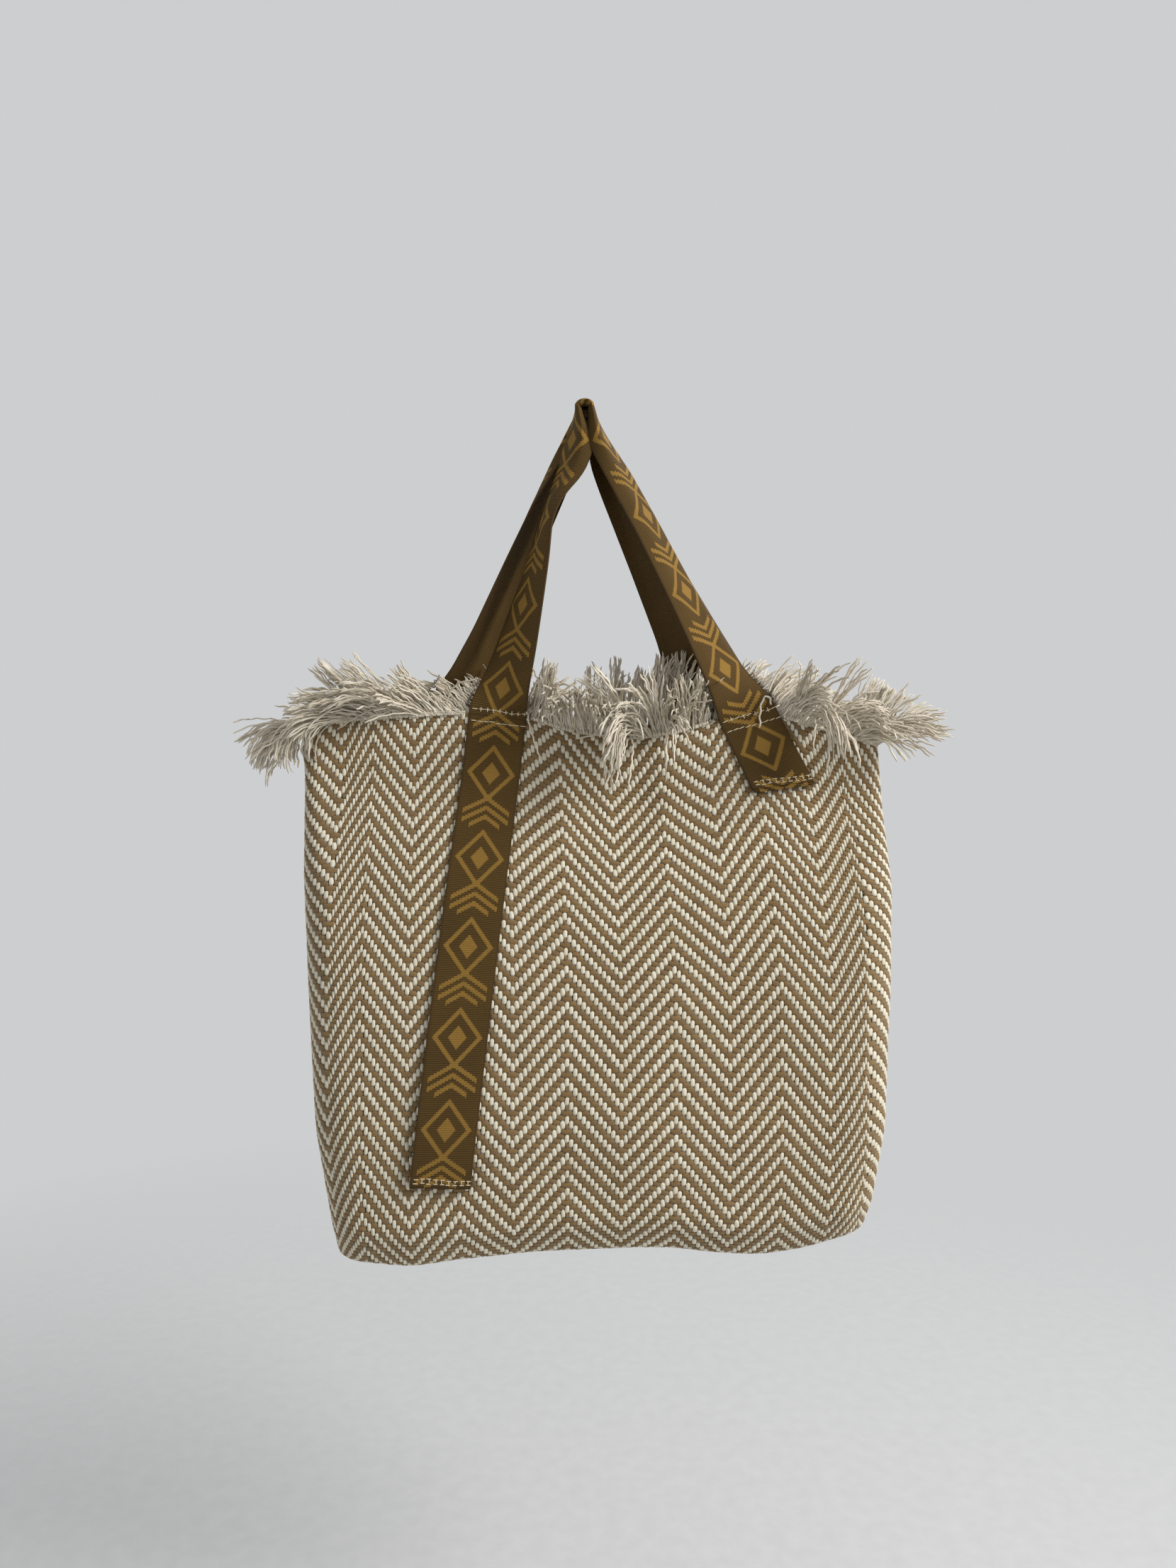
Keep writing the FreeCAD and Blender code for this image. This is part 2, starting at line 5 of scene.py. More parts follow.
import bpy
import numpy as np
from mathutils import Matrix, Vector


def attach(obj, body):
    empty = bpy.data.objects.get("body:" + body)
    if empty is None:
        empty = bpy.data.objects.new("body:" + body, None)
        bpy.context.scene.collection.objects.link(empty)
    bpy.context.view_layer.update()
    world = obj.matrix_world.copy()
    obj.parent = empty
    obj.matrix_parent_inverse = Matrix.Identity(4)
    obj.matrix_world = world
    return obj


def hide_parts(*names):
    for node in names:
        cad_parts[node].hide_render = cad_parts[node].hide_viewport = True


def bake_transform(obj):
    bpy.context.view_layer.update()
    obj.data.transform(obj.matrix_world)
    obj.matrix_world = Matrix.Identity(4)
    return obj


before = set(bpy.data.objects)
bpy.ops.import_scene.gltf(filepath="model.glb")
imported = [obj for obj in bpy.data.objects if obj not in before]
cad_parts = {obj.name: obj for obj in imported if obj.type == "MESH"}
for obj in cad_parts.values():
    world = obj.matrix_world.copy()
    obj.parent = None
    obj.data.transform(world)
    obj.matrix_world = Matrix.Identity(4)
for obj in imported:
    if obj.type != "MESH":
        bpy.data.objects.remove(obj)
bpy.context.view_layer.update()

# Metres. The front faces -Y, +Z is up, and the origin is where the handles rest on a hook.
front, back = -1, 1
bodyOf = {front: "front_wall", back: "bag"}
nameOf = {front: "front", back: "back"}


# ---- shader helpers


def paint(*colour):  # a colour as it is seen, turned linear
    return (*[((part / 255 + 0.055) / 1.055) ** 2.4 for part in colour], 1.0)


class Signal:  # a shader socket that can be used in sums
    def __init__(self, finish, socket):
        self.finish, self.socket = finish, socket

    def maths(self, operation, *values):
        return self.finish.node("Math", {"operation": operation}, dict(enumerate((self, *values))))

    def __rsub__(self, other):
        return self.finish.node("Math", {"operation": "SUBTRACT"}, {0: other, 1: self})

    __add__ = partialmethod(maths, "ADD")
    __sub__ = partialmethod(maths, "SUBTRACT")
    __mul__ = partialmethod(maths, "MULTIPLY")
    __truediv__ = partialmethod(maths, "DIVIDE")
    __lt__ = partialmethod(maths, "LESS_THAN")
    __gt__ = partialmethod(maths, "GREATER_THAN")
    __abs__ = partialmethod(maths, "ABSOLUTE")


class Finish:  # one procedural material
    def __init__(self, name, **constants):
        self.material = bpy.data.materials.new(name)
        self.material.use_nodes = True
        self.nodes = self.material.node_tree.nodes
        self.links = self.material.node_tree.links
        self.shader = self.nodes["Principled BSDF"]
        for socket, value in constants.items():
            self.shader.inputs[socket.replace("_", " ")].default_value = value

    def feed(self, socket, value):
        if isinstance(value, Signal):
            self.links.new(value.socket, socket)
        else:
            socket.default_value = value

    def node(self, kind, settings=None, inputs=None, output=0):
        made = self.nodes.new("ShaderNode" + kind)
        for key, value in (settings or {}).items():
            setattr(made, key, value)
        for key, value in (inputs or {}).items():
            self.feed(made.inputs[key], value)
        return Signal(self, made.outputs[output])

    def place(self):  # the object's own coordinates
        return self.node("TexCoord", output="Object")

    def laid(self):  # the piece's UV map
        return self.node("UVMap", {"uv_map": "UVMap"})

    def shade(self):  # one value for each yarn
        return self.node("Attribute", {"attribute_name": "shade"}, output="Fac")

    def mix(self, share, low, high):
        low, high = (end if isinstance(end, Signal) else paint(*end) for end in (low, high))
        return self.node("Mix", {"data_type": "RGBA"}, {0: share, 6: low, 7: high}, 2)

    def scaled(self, vector, size):
        return self.node("Mapping", None, {"Vector": vector, "Scale": size})

    def noise(self, vector, scale, detail=2.0, roughness=0.5):
        values = {"Vector": vector, "Scale": scale, "Detail": detail, "Roughness": roughness}
        return self.node("TexNoise", None, values)

    def finished(self, colour, height=None, depth=0.0002, roughness=None):
        self.feed(self.shader.inputs["Base Color"], colour)
        if roughness is not None:
            self.feed(self.shader.inputs["Roughness"], roughness)
        if height is not None:
            bump = self.node("Bump", None, {"Height": height, "Distance": depth})
            self.feed(self.shader.inputs["Normal"], bump)
        return self.material


# ---- mesh helpers


def takeMade(name):
    made = bpy.context.active_object
    made.name = name
    made.data.name = name
    return made


@contextmanager
def editing():  # in edit mode, with everything selected
    bpy.ops.object.mode_set(mode="EDIT")
    bpy.ops.mesh.select_all(action="SELECT")
    yield
    bpy.ops.object.mode_set(mode="OBJECT")


def vertexArray(obj):
    points = np.empty(len(obj.data.vertices) * 3, np.float64)
    obj.data.vertices.foreach_get("co", points)
    return points.reshape(-1, 3)


def makeGrid(name, columns, rows):
    bpy.ops.mesh.primitive_grid_add(x_subdivisions=columns, y_subdivisions=rows, size=2)
    grid = takeMade(name)
    return grid, vertexArray(grid)


def setVertices(obj, points):
    obj.data.vertices.foreach_set("co", np.asarray(points, np.float32).ravel())
    obj.data.update()


def applyModifier(obj, kind, **settings):
    bpy.context.view_layer.objects.active = obj
    modifier = obj.modifiers.new(kind.title(), kind)
    for key, value in settings.items():
        setattr(modifier, key, value)
    bpy.ops.object.modifier_apply(modifier=modifier.name)


def meshFrom(name, points, faceGroups, uv=None, shade=None):
    # faceGroups are arrays of faces, each with its own number of corners.
    loops = np.concatenate([group.ravel() for group in faceGroups])
    sizes = np.concatenate([np.full(len(group), group.shape[1]) for group in faceGroups])
    mesh = bpy.data.meshes.new(name)
    mesh.vertices.add(len(points))
    mesh.vertices.foreach_set("co", np.asarray(points, np.float32).ravel())
    mesh.loops.add(len(loops))
    mesh.loops.foreach_set("vertex_index", loops.astype(np.int32))
    mesh.polygons.add(len(sizes))
    starts = np.concatenate([[0], np.cumsum(sizes)[:-1]])
    mesh.polygons.foreach_set("loop_start", starts.astype(np.int32))
    mesh.polygons.foreach_set("loop_total", sizes.astype(np.int32))
    mesh.polygons.foreach_set("use_smooth", np.full(len(sizes), True))
    mesh.update(calc_edges=True)
    if uv is not None:
        layer = mesh.uv_layers.new(name="UVMap")
        layer.data.foreach_set("uv", np.asarray(uv, np.float32)[loops].ravel())
    if shade is not None:
        attribute = mesh.attributes.new("shade", "FLOAT", "POINT")
        attribute.data.foreach_set("value", np.asarray(shade, np.float32))
    mesh.validate()
    obj = bpy.data.objects.new(name, mesh)
    bpy.context.scene.collection.objects.link(obj)
    return obj


def takeShape(template):
    # A template's points and faces, once its object has done its work.
    points = vertexArray(template)
    faces = [np.array(face.vertices) for face in template.data.polygons]
    bpy.data.objects.remove(template)
    return points, faces


def unit(rows):  # the same directions, each of length one
    return rows / np.maximum(np.linalg.norm(rows, axis=-1, keepdims=True), 1e-12)


def runAlong(points):  # how far down their line each point lies
    return np.concatenate([[0], np.cumsum(np.linalg.norm(np.diff(points, axis=0), axis=1))])


def smoothStep(t):
    t = np.clip(t, 0, 1)
    return t * t * (3 - 2 * t)


def ramp(value, start, length):  # from 0 to 1, softly
    return smoothStep((value - start) / length)


def softCurve(knots, reach, at):
    # Straight runs between the knots, with their corners rounded over the reach.
    xs, ys = np.array(knots, float).T
    offsets = np.linspace(-reach, reach, 9)
    weights = np.cos(offsets / reach * math.pi / 2) + 0.1
    samples = np.interp(np.asarray(at)[..., None] + offsets, xs, ys)
    return (samples * weights).sum(-1) / weights.sum()


# ---- the bag's shape

bagShape = {
    "middleX": 0.010,
    "rimZ": -0.214,
    # drop below the rim, half width left and right, half depth, half of the flat side
    "levels": [
        (0.000, 0.206, 0.196, 0.012, 0.002),
        (0.044, 0.205, 0.199, 0.012, 0.002),
        (0.110, 0.204, 0.204, 0.029, 0.008),
        (0.190, 0.200, 0.202, 0.040, 0.012),
        (0.290, 0.193, 0.196, 0.049, 0.018),
        (0.352, 0.182, 0.187, 0.047, 0.020),
        (0.376, 0.178, 0.182, 0.034, 0.014),
    ],
    "rounding": 0.010,  # how softly one level passes into the next
    "crown": 0.004,  # fullness of the middle of each face
    "snapX": 0.020,
    "waviness": 0.0011,  # unevenness of the hanging cloth
    "pinch": 0.005,  # cloth drawn in at the snap
    "pinchFlat": 0.012,  # half of the stretch that is drawn in fully
    "pinchReach": 0.042,
    "pinchFade": (0.040, 0.055),  # drop at which the pinch begins to fade, and over how much
    "sagReach": 0.24,  # how far down the rim's sag is felt
    "liftReach": (0.25, 0.15),  # where the bottom's lift begins, and over how much it grows
    "wall": 0.0026,
    # down the cloth: half of its yarns' spread, and how far their middle is drawn to the left
    "spread": [(0.0, 0.2285, 0.033), (0.06, 0.2320, 0.022), (0.19, 0.2400, 0.0), (0.30, 0.2380, 0.0),
               (0.36, 0.2350, 0.0), (0.45, 0.2350, 0.0)],
    # across a half, from its middle: how closely the yarns keep that spread
    "rounded": [(0.0, 1.0), (0.40, 1.0), (0.54, 0.984), (0.69, 0.963), (0.84, 0.904)],
    # where the rim hangs down between the straps: across, drop
    "rimSag": {
        front: [(-0.20, 0.011), (-0.165, 0.007), (-0.10, 0.003), (-0.059, 0.001),
                (-0.035, 0.006), (-0.010, 0.015), (0.035, 0.020), (0.075, 0.014),
                (0.098, 0.004), (0.113, 0.001), (0.135, 0.004), (0.165, 0.013), (0.21, 0.026)],
        back: [(-0.20, 0.011), (-0.15, 0.008), (-0.093, 0.001), (-0.05, 0.009),
               (0.00, 0.016), (0.04, 0.011), (0.079, 0.001), (0.12, 0.006),
               (0.17, 0.015), (0.21, 0.026)],
    },
    # where the bottom hangs lower or higher: across, lift
    "baseLift": [(-0.17, 0.001), (-0.144, -0.002), (-0.116, -0.004), (-0.085, 0.002),
                 (-0.035, 0.007), (0.03, 0.010), (0.06, 0.010), (0.09, 0.0067),
                 (0.12, 0.005), (0.15, 0.009), (0.165, 0.014), (0.19, 0.021)],
}


def bagProfile():
    # The face's middle line, from the rim down and in under the bag: drop, left,
    # right, depth, flat, and how much of the depth is left.
    rows = np.array([(*level, 1.0) for level in bagShape["levels"]] + [(*bagShape["levels"][-1], 0.0)])
    marks = runAlong(np.stack([rows[:, 0], rows[:, 3] * rows[:, 5]], 1))
    step = 0.001
    along = np.arange(0, marks[-1], step)
    reach = bagShape["rounding"]
    ends = np.concatenate([[marks[0] - 0.05], marks, [marks[-1] + 0.05]])
    columns = [softCurve(np.stack([ends, column[[0, *range(len(rows)), -1]]], 1), reach, along)
               for column in rows.T]
    columns[5][-int(reach / step):] *= np.linspace(1, 0, int(reach / step))
    return along, np.array(columns)


profileAlong, profileColumns = bagProfile()
faceLength = profileAlong[-1]
edgeX = np.linspace(-0.24, 0.26, 501)
sagTable = {side: softCurve(bagShape["rimSag"][side], 0.016, edgeX) for side in (front, back)}
liftTable = softCurve(bagShape["baseLift"], 0.014, edgeX)


def yarnShare(across, along, total):
    # How far round its half the yarn at this place lies, as a share of the half's whole run.
    stretch = np.interp(along, *np.array(bagShape["spread"]).T[[0, 1]]) / total
    place = np.abs(across)
    kept = np.interp(place, *np.array(bagShape["rounded"]).T)
    lastPlace, lastKept = bagShape["rounded"][-1]
    kept = kept + (1 / stretch - lastKept) * np.clip((place - lastPlace) / (1 - lastPlace), 0, 1)
    return np.minimum(place * stretch * kept, 1)


def clothPoint(side, across, along, inset=0.0):
    # across runs from -1 at the left seam to 1 at the right one, and along runs down
    # the cloth in metres from the rim.
    across, along = np.broadcast_arrays(np.asarray(across, float), np.asarray(along, float))
    drop, left, right, depth, flat, kept = (
        np.interp(along, profileAlong, column) for column in profileColumns
    )
    drawn = np.interp(along, *np.array(bagShape["spread"]).T[[0, 2]])
    across = across - drawn * (1 - across ** 4)
    width = np.where(across < 0, left, right) - inset
    depth = np.maximum(depth - inset, 0.002)
    bend = np.maximum(depth - flat, 0.001)
    face = width - bend
    total = face + bend * math.pi / 2 + flat
    run = yarnShare(across, along, total) * total
    angle = np.clip((run - face) / bend, 0, math.pi / 2)
    past = np.maximum(run - face - bend * math.pi / 2, 0)
    x = np.where(run < face, run, face + bend * np.sin(angle))
    out = flat + bend * np.cos(angle) - past
    x = np.copysign(x, across)
    fullness = ramp(along, 0.05, 0.12) * kept
    out = out + bagShape["crown"] * np.clip(1 - (x / width) ** 2, 0, 1) * fullness
    x = x + bagShape["middleX"]
    waves = np.sin(34 * x + 9 * along + 0.8) * np.sin(19 * along - 7 * x)
    waves += 0.5 * np.sin(71 * x - 20 * along + 2.1) * np.sin(33 * along + 1.1)
    out = out + bagShape["waviness"] * waves * fullness * np.clip(out / 0.02, 0, 1)
    pinchFlat, pinchReach = bagShape["pinchFlat"], bagShape["pinchReach"]
    near = np.clip((pinchReach - np.abs(x - bagShape["snapX"])) / (pinchReach - pinchFlat), 0, 1)
    high = 1 - ramp(drop, *bagShape["pinchFade"])
    out = out - bagShape["pinch"] * smoothStep(near) * high
    out = out * kept
    sag = np.interp(x, edgeX, sagTable[side]) * (1 - ramp(along, 0, bagShape["sagReach"]))
    lift = np.interp(x, edgeX, liftTable) * ramp(along, *bagShape["liftReach"])
    z = bagShape["rimZ"] - drop - sag + lift + inset * (1 - kept)
    return np.stack([x, side * out, z], -1)


def clothFrame(side, across, along, inset=0.0):
    # Point, step across per unit, step along per metre, and outward normal.
    step = 1e-4

    def slope(x, y):
        beyond = clothPoint(side, across + x, along + y, inset)
        return (beyond - clothPoint(side, across - x, along - y, inset)) / (2 * step)

    over, down = slope(step, 0), slope(0, step)
    return clothPoint(side, across, along, inset), over, down, unit(np.cross(down, over) * -side)


def halved(low, high, isBelow):
    # Closes in on the place where the test turns from true to false.
    for _ in range(18):
        middle = (low + high) / 2
        below = isBelow(middle)
        low, high = np.where(below, middle, low), np.where(below, high, middle)
    return (low + high) / 2


def acrossAt(side, x, along):
    # The place across the cloth that lies at this x.
    return halved(np.full(np.shape(x), -1.0), np.full(np.shape(x), 1.0),
                  lambda across: clothPoint(side, across, along)[..., 0] < x)


def alongAt(side, across, z):
    return halved(np.zeros(np.shape(z)), np.full(np.shape(z), faceLength),
                  lambda along: clothPoint(side, across, along)[..., 2] > z)


def blendMouth(piece):
    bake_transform(piece)


# ---- woven cloth

clothLook = {
    "warps": 172,  # yarns across each half
    "wefts": 131,  # rows from the rim to the seam under the bag
    "turn": 13,  # warps from one turn of the zigzag to the next
    "shift": 13.34,  # slides the zigzag sideways, in warps
    "stand": 0.0009,  # how far a float stands out
    "seamGap": 0.006,  # bare cloth beside the seam under the bag
    # plump and long: width and length of a float against its pitch
    "warp": {"name": "cream yarn", "light": (242, 236, 217), "shade": (216, 207, 182),
             "plump": 1.28, "long": 1.02, "tilt": 0.06, "height": 1, "fibres": (2600, 420, 1)},
    "weft": {"name": "tan yarn", "light": (153, 123, 77), "shade": (121, 95, 55),
             "plump": 1.34, "long": 1.08, "tilt": 0, "height": 0.85, "fibres": (420, 2600, 1)},
    # the ground sheet between the floats is painted darker than either yarn: painted shade in the gaps of the
    # weave
    "shadedGround": (116, 90, 54),
    "shadedGroundDark": (88, 66, 38),
}


def yarnFinish(yarn):
    look = clothLook[yarn]
    finish = Finish(look["name"], Roughness=0.92, Sheen_Weight=0.25, Sheen_Roughness=0.5)
    fibre = finish.noise(finish.scaled(finish.laid(), look["fibres"]), 1.0, 3.0, 0.6)
    share = fibre * 0.75 + finish.shade() * 0.45 + finish.noise(finish.place(), 9.0) * 0.35 - 0.3
    return finish.finished(finish.mix(share, look["shade"], look["light"]), fibre, 0.0005)


def shadedGroundFinish():
    # Painted shade: the sheet under the floats is a dark brown with a random mottle, standing for the shaded
    # gaps of the weave.
    finish = Finish("woven ground", Roughness=0.95)
    mottle = finish.noise(finish.place(), 900.0)
    return finish.finished(finish.mix(mottle, clothLook["shadedGroundDark"], clothLook["shadedGround"]), mottle, 0.0003)


yarnFinishes = {yarn: yarnFinish(yarn) for yarn in ("warp", "weft")}


def rolledCloth(name, inset, thickness, rows, startAlong=0.0):
    # The cloth laid flat, once round the bag, then sewn up into its hanging shape.
    cloth, flat = makeGrid(name, 192, rows)
    around = (flat[:, 0] + 1) * 2  # 0 to 4, front first
    along = startAlong + (1 - flat[:, 1]) / 2 * (faceLength - startAlong)
    isFront = around <= 2
    across = np.where(isFront, around - 1, 3 - around)
    setVertices(cloth, np.where(isFront[:, None], clothPoint(front, across, along, inset),
                                clothPoint(back, across, along, inset)))
    with editing():
        bpy.ops.mesh.remove_doubles(threshold=0.0002)
        bpy.ops.mesh.normals_make_consistent(inside=False)
    applyModifier(cloth, "SOLIDIFY", thickness=thickness, offset=-1)
    bpy.ops.object.shade_smooth()
    return cloth


def makeFloatTemplate():
    # One float of yarn: a small grid puffed up in the middle, with its underside closed.
    template, points = makeGrid("floatTemplate", 3, 3)
    inner = (np.abs(points) < 0.99).all(axis=1)
    edge = np.abs(points[:, 0]) > 0.99
    end = np.abs(points[:, 1]) > 0.99
    points[:, 0] *= np.where(end, 0.80, np.where(edge, 1.0, 1.7))
    points[:, 1] *= np.where(edge & ~end, 1.35, np.where(inner, 1.5, 1.0))
    points[:, 1] *= np.where(edge & end, 0.86, 1.0)
    points[:, 2] = np.where(inner, 1.0, np.where(end & ~edge, 0.12, -0.25))
    setVertices(template, points)
    with editing():
        bpy.ops.mesh.region_to_loop()
        bpy.ops.mesh.edge_face_add()
        bpy.ops.mesh.select_all(action="SELECT")
        bpy.ops.mesh.normals_make_consistent(inside=False)
    return takeShape(template)


floatPoints, floatFaces = makeFloatTemplate()


def zigzagPlace(warp):  # how many warps into the zigzag
    return np.floor(warp + clothLook["shift"]) % (2 * clothLook["turn"])


def twill(warp, row):
    # True where the warp yarn is on top.
    turn, place = clothLook["turn"], zigzagPlace(warp)
    return (row + np.where(place < turn, place, 2 * turn - place)) % 4 < 2


def floatRuns(top):
    # Runs of True along each row of an array: (row, first, length).
    padded = np.pad(top.astype(int), ((0, 0), (1, 1)))
    change = np.diff(padded, axis=1)
    rows, firsts = np.nonzero(change == 1)
    _, ends = np.nonzero(change == -1)
    return rows, firsts, ends - firsts


def layFloats(side, yarn, across, along, halfAcross, halfAlong, seed):
    # Copies the float over the cloth, each on its own patch of it.
    look = clothLook[yarn]
    rng = np.random.default_rng(seed)
    point, over, down, normal = clothFrame(side, across, along)
    widthScale, heightScale = np.linalg.norm(over, axis=1), np.linalg.norm(down, axis=1)
    keep = (widthScale > 0.06) & (heightScale > 0.3) & (along < faceLength - clothLook["seamGap"])
    kept = (point, over, down, normal, across, halfAcross, halfAlong, widthScale)
    point, over, down, normal, across, halfAcross, halfAlong, widthScale = (values[keep] for values in kept)
    count = len(point)
    local = np.repeat(floatPoints[None], count, 0)
    if yarn == "weft":
        local = local[..., [1, 0, 2]]
    # each leans with the zigzag's own slope
    lean = look["tilt"] * (1 + 0.25 * rng.standard_normal(count))[:, None]
    falling = zigzagPlace((across + 1) / 2 * clothLook["warps"]) >= clothLook["turn"]
    lean = lean * np.where(falling, -1, 1)[:, None]
    size = 1 + 0.05 * rng.standard_normal((count, 1))
    y = local[..., 1] * halfAlong[:, None]
    x = local[..., 0] * halfAcross[:, None] * size + y * lean / widthScale[:, None]
    height = local[..., 2] * clothLook["stand"] * size * look["height"]
    points = point[:, None] + over[:, None] * x[..., None] + down[:, None] * y[..., None]
    points = points + normal[:, None] * height[..., None]
    each = len(floatPoints)
    base = np.arange(count)[:, None] * each
    uv = (local[..., :2] * (0.0014, 0.0028) + rng.random((count, 1, 2)) * 3).reshape(-1, 2)
    shade = np.repeat(rng.random(count), each)
    sense = -1 if (side == front) == (yarn == "warp") else 1
    faces = [base + face[::sense] for face in floatFaces]
    piece = meshFrom(f"{nameOf[side]}_{yarn}_floats", points.reshape(-1, 3), faces, uv, shade)
    blendMouth(piece)
    piece.data.materials.append(yarnFinishes[yarn])


def weaveFloats(side):
    warps, wefts = clothLook["warps"], clothLook["wefts"]
    top = twill(*np.meshgrid(np.arange(warps), np.arange(wefts), indexing="ij"))
    acrossPitch, alongPitch = 2 / warps, faceLength / wefts
    warp, weft = clothLook["warp"], clothLook["weft"]
    column, first, length = floatRuns(top)
    layFloats(side, "warp", (column + 0.5) * acrossPitch - 1, (first + length / 2) * alongPitch,
              np.full(len(column), acrossPitch / 2 * warp["plump"]),
              length * alongPitch / 2 * warp["long"], 11 + side)
    row, first, length = floatRuns(~top.T)
    layFloats(side, "weft", (first + length / 2) * acrossPitch - 1, (row + 0.5) * alongPitch,
              length * acrossPitch / 2 * weft["long"],
              np.full(len(row), alongPitch / 2 * weft["plump"]), 16 + side)


groundSink = 0.0007  # the ground lies this far inside the floats' feet
# a sheet under the floats, painted dark as the shade in the gaps between them
shadedGround = rolledCloth("woven_shaded_ground", groundSink, bagShape["wall"] - groundSink, 110)
blendMouth(shadedGround)
shadedGround.data.materials.append(shadedGroundFinish())
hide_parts("front_panel", "back_panel")
for side in (front, back):
    weaveFloats(side)
print("cloth woven")


# ---- lining

liningLook = {"inset": 0.0038, "thickness": 0.0007, "drop": 0.004,
              "colour": (206, 196, 172), "shade": (176, 164, 138)}


def liningFinish():
    finish = Finish("cotton lining", Roughness=0.9, Sheen_Weight=0.1)
    place = finish.place()
    threads = finish.noise(finish.scaled(place, (1600, 1600, 240)), 1.0)
    share = threads * 0.6 + finish.noise(place, 14.0) * 0.6
    return finish.finished(finish.mix(share, liningLook["shade"], liningLook["colour"]), threads)


lining = rolledCloth("lining", liningLook["inset"], liningLook["thickness"], 70, liningLook["drop"])
blendMouth(lining)
lining.data.materials.append(liningFinish())
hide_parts("front_lining", "back_lining")
print("lining sewn in")


# ---- webbing straps

strapLook = {
    "width": 0.040,
    "thickness": 0.0016,
    "seat": 0.0123,  # inner face from the bag's middle plane, at the rim
    "lift": 0.0021,  # middle of the webbing above the cloth
    "footTop": -0.2137,
    # x across from the bag's middle, lean on the way down, length of the stitched foot and of the
    # tail, how far the tip stands off, how much its fold shows, and how far askew it is cut
    "ends": {
        "long": {"x": -0.069, "lean": -6.3, "foot": 0.013, "tail": 0.3067,
                 "tip": 0.004, "lip": 0.0006, "skew": -6},
        "short": {"x": 0.1015, "lean": 26, "foot": 0.016, "tail": 0.044,
                  "tip": 0.005, "lip": 0.0016, "skew": 18},
    },
    "hem": 0.011,
    "rib": 0.0012,  # pitch of the ribs
    "foldX": 0.001,  # middle of the fold over the hook
    "foldZ": -0.0090,
    "foldRadius": 0.0070,
    "foldOut": 0.0116,
    "foldCurl": 176,
    # from the webbing's middle, where an edge's curl begins and ends, and how much shorter the
    # curl is at each when folded right over
    "curlReach": (0.0075, 0.0155, 0.0020),
    "tailBend": (-0.0008, 0.0065),  # from and to where the tails bend, down from the foot's end
    # share of the way up a leg, degrees turned, degrees each edge curls back, shift inward
    "turn": {
        front: {
            "long": [(0, 4, 0, 0), (.03, 20, 4, 0), (.10, 33, 10, 0), (.20, 42, 14, 0),
                     (.35, 54, 20, -.001), (.5, 66, 26, -.002), (.62, 80, 34, -.003), (.70, 78, 44, -.002),
                     (.80, 58, 50, .003), (.88, 54, 70, .004), (.95, 68, 120, .003), (1, 90, 176, 0)],
            "short": [(0, 6, 0, 0), (.03, 24, 8, 0), (.10, 38, 16, 0), (.25, 47, 20, 0), (.4, 53, 26, 0),
                      (.6, 58, 36, 0), (.8, 62, 60, .001), (.92, 72, 106, .003), (1, 90, 176, 0)],
        },
        back: {
            "long": [(0, 6, 0, 0), (.03, 30, 8, -.001), (.10, 52, 16, -.004), (.25, 60, 20, -.005),
                     (.5, 64, 26, -.003), (.7, 68, 36, -.001), (.85, 74, 70, 0), (.93, 80, 130, 0),
                     (1, 90, 176, 0)],
            "short": [(0, 6, 0, 0), (.03, 26, 8, 0), (.10, 46, 16, 0), (.25, 58, 20, 0), (.5, 64, 26, 0),
                      (.7, 68, 36, 0), (.85, 74, 70, 0), (.93, 80, 130, 0), (1, 90, 176, 0)],
        },
    },
    "legSteps": 44,
    "acrossSteps": 14,
    "brown": (99, 74, 29),
    "brownShade": (59, 43, 15),
    "selvage": (58, 42, 24),
    "ochre": (150, 115, 50),
    "selvageFrom": 0.0188,
    "repeat": 0.060,  # of the pattern
    # its lozenges: middle, half width, half height; and its chevrons: half width, start
    "ring": (0.0190, 0.0150, 0.0180),
    "heart": (0.0190, 0.0062, 0.0080),
    "chevrons": [(0.0160, 0.0370), (0.0160, 0.0435), (0.0105, 0.0500)],
}

acrossWebbing = np.linspace(-strapLook["width"] / 2, strapLook["width"] / 2, strapLook["acrossSteps"] + 1)
seatLevel = strapLook["seat"] + strapLook["thickness"] / 2
forward = np.array([0, -1.0, 0])
halfTurn = {front: np.array([1, 1, 1]), back: np.array([-1, -1, 1])}
bagMiddle = np.array([bagShape["middleX"], 0, 0])


def placeOnSide(side, points):
    # The back is the front turned half a turn about the bag's upright middle line.
    return points * halfTurn[side] + bagMiddle


def outFromMiddle(side, x, z):
    # How far the cloth stands out from the middle plane, at this place seen from the front.
    along = np.clip(bagShape["rimZ"] - z, 0, faceLength - 0.04)
    for _ in range(3):
        across = acrossAt(side, x, along)
        along = alongAt(side, across, z)
    return np.abs(clothPoint(side, across, along)[..., 1])


def tailPoint(side, end, a, s):
    # Middle of the tail's webbing: a across it, s down it from the rim, in the world.
    size = strapLook["ends"][end]
    lean = math.radians(size["lean"])
    x = size["x"] + s * math.sin(lean) + a * math.cos(lean)
    z = bagShape["rimZ"] - s * math.cos(lean) + a * math.sin(lean)
    worldX = bagShape["middleX"] + (-x if side == back else x)
    out = outFromMiddle(side, worldX, z) + strapLook["lift"]
    nearFoot = 1 - ramp(s, size["foot"], 0.02)
    out = out * (1 - nearFoot) + seatLevel * nearFoot
    free = np.clip((s - size["foot"]) / size["tail"], 0, 1)
    out = out + size["tip"] * free ** 3
    return placeOnSide(side, np.stack([x, -out, z], -1))


def skewedDrop(end, a, s):
    # The tails are cut off askew.
    size = strapLook["ends"][end]
    return s + a * math.tan(math.radians(size["skew"])) * ramp(s, size["foot"], size["tail"])


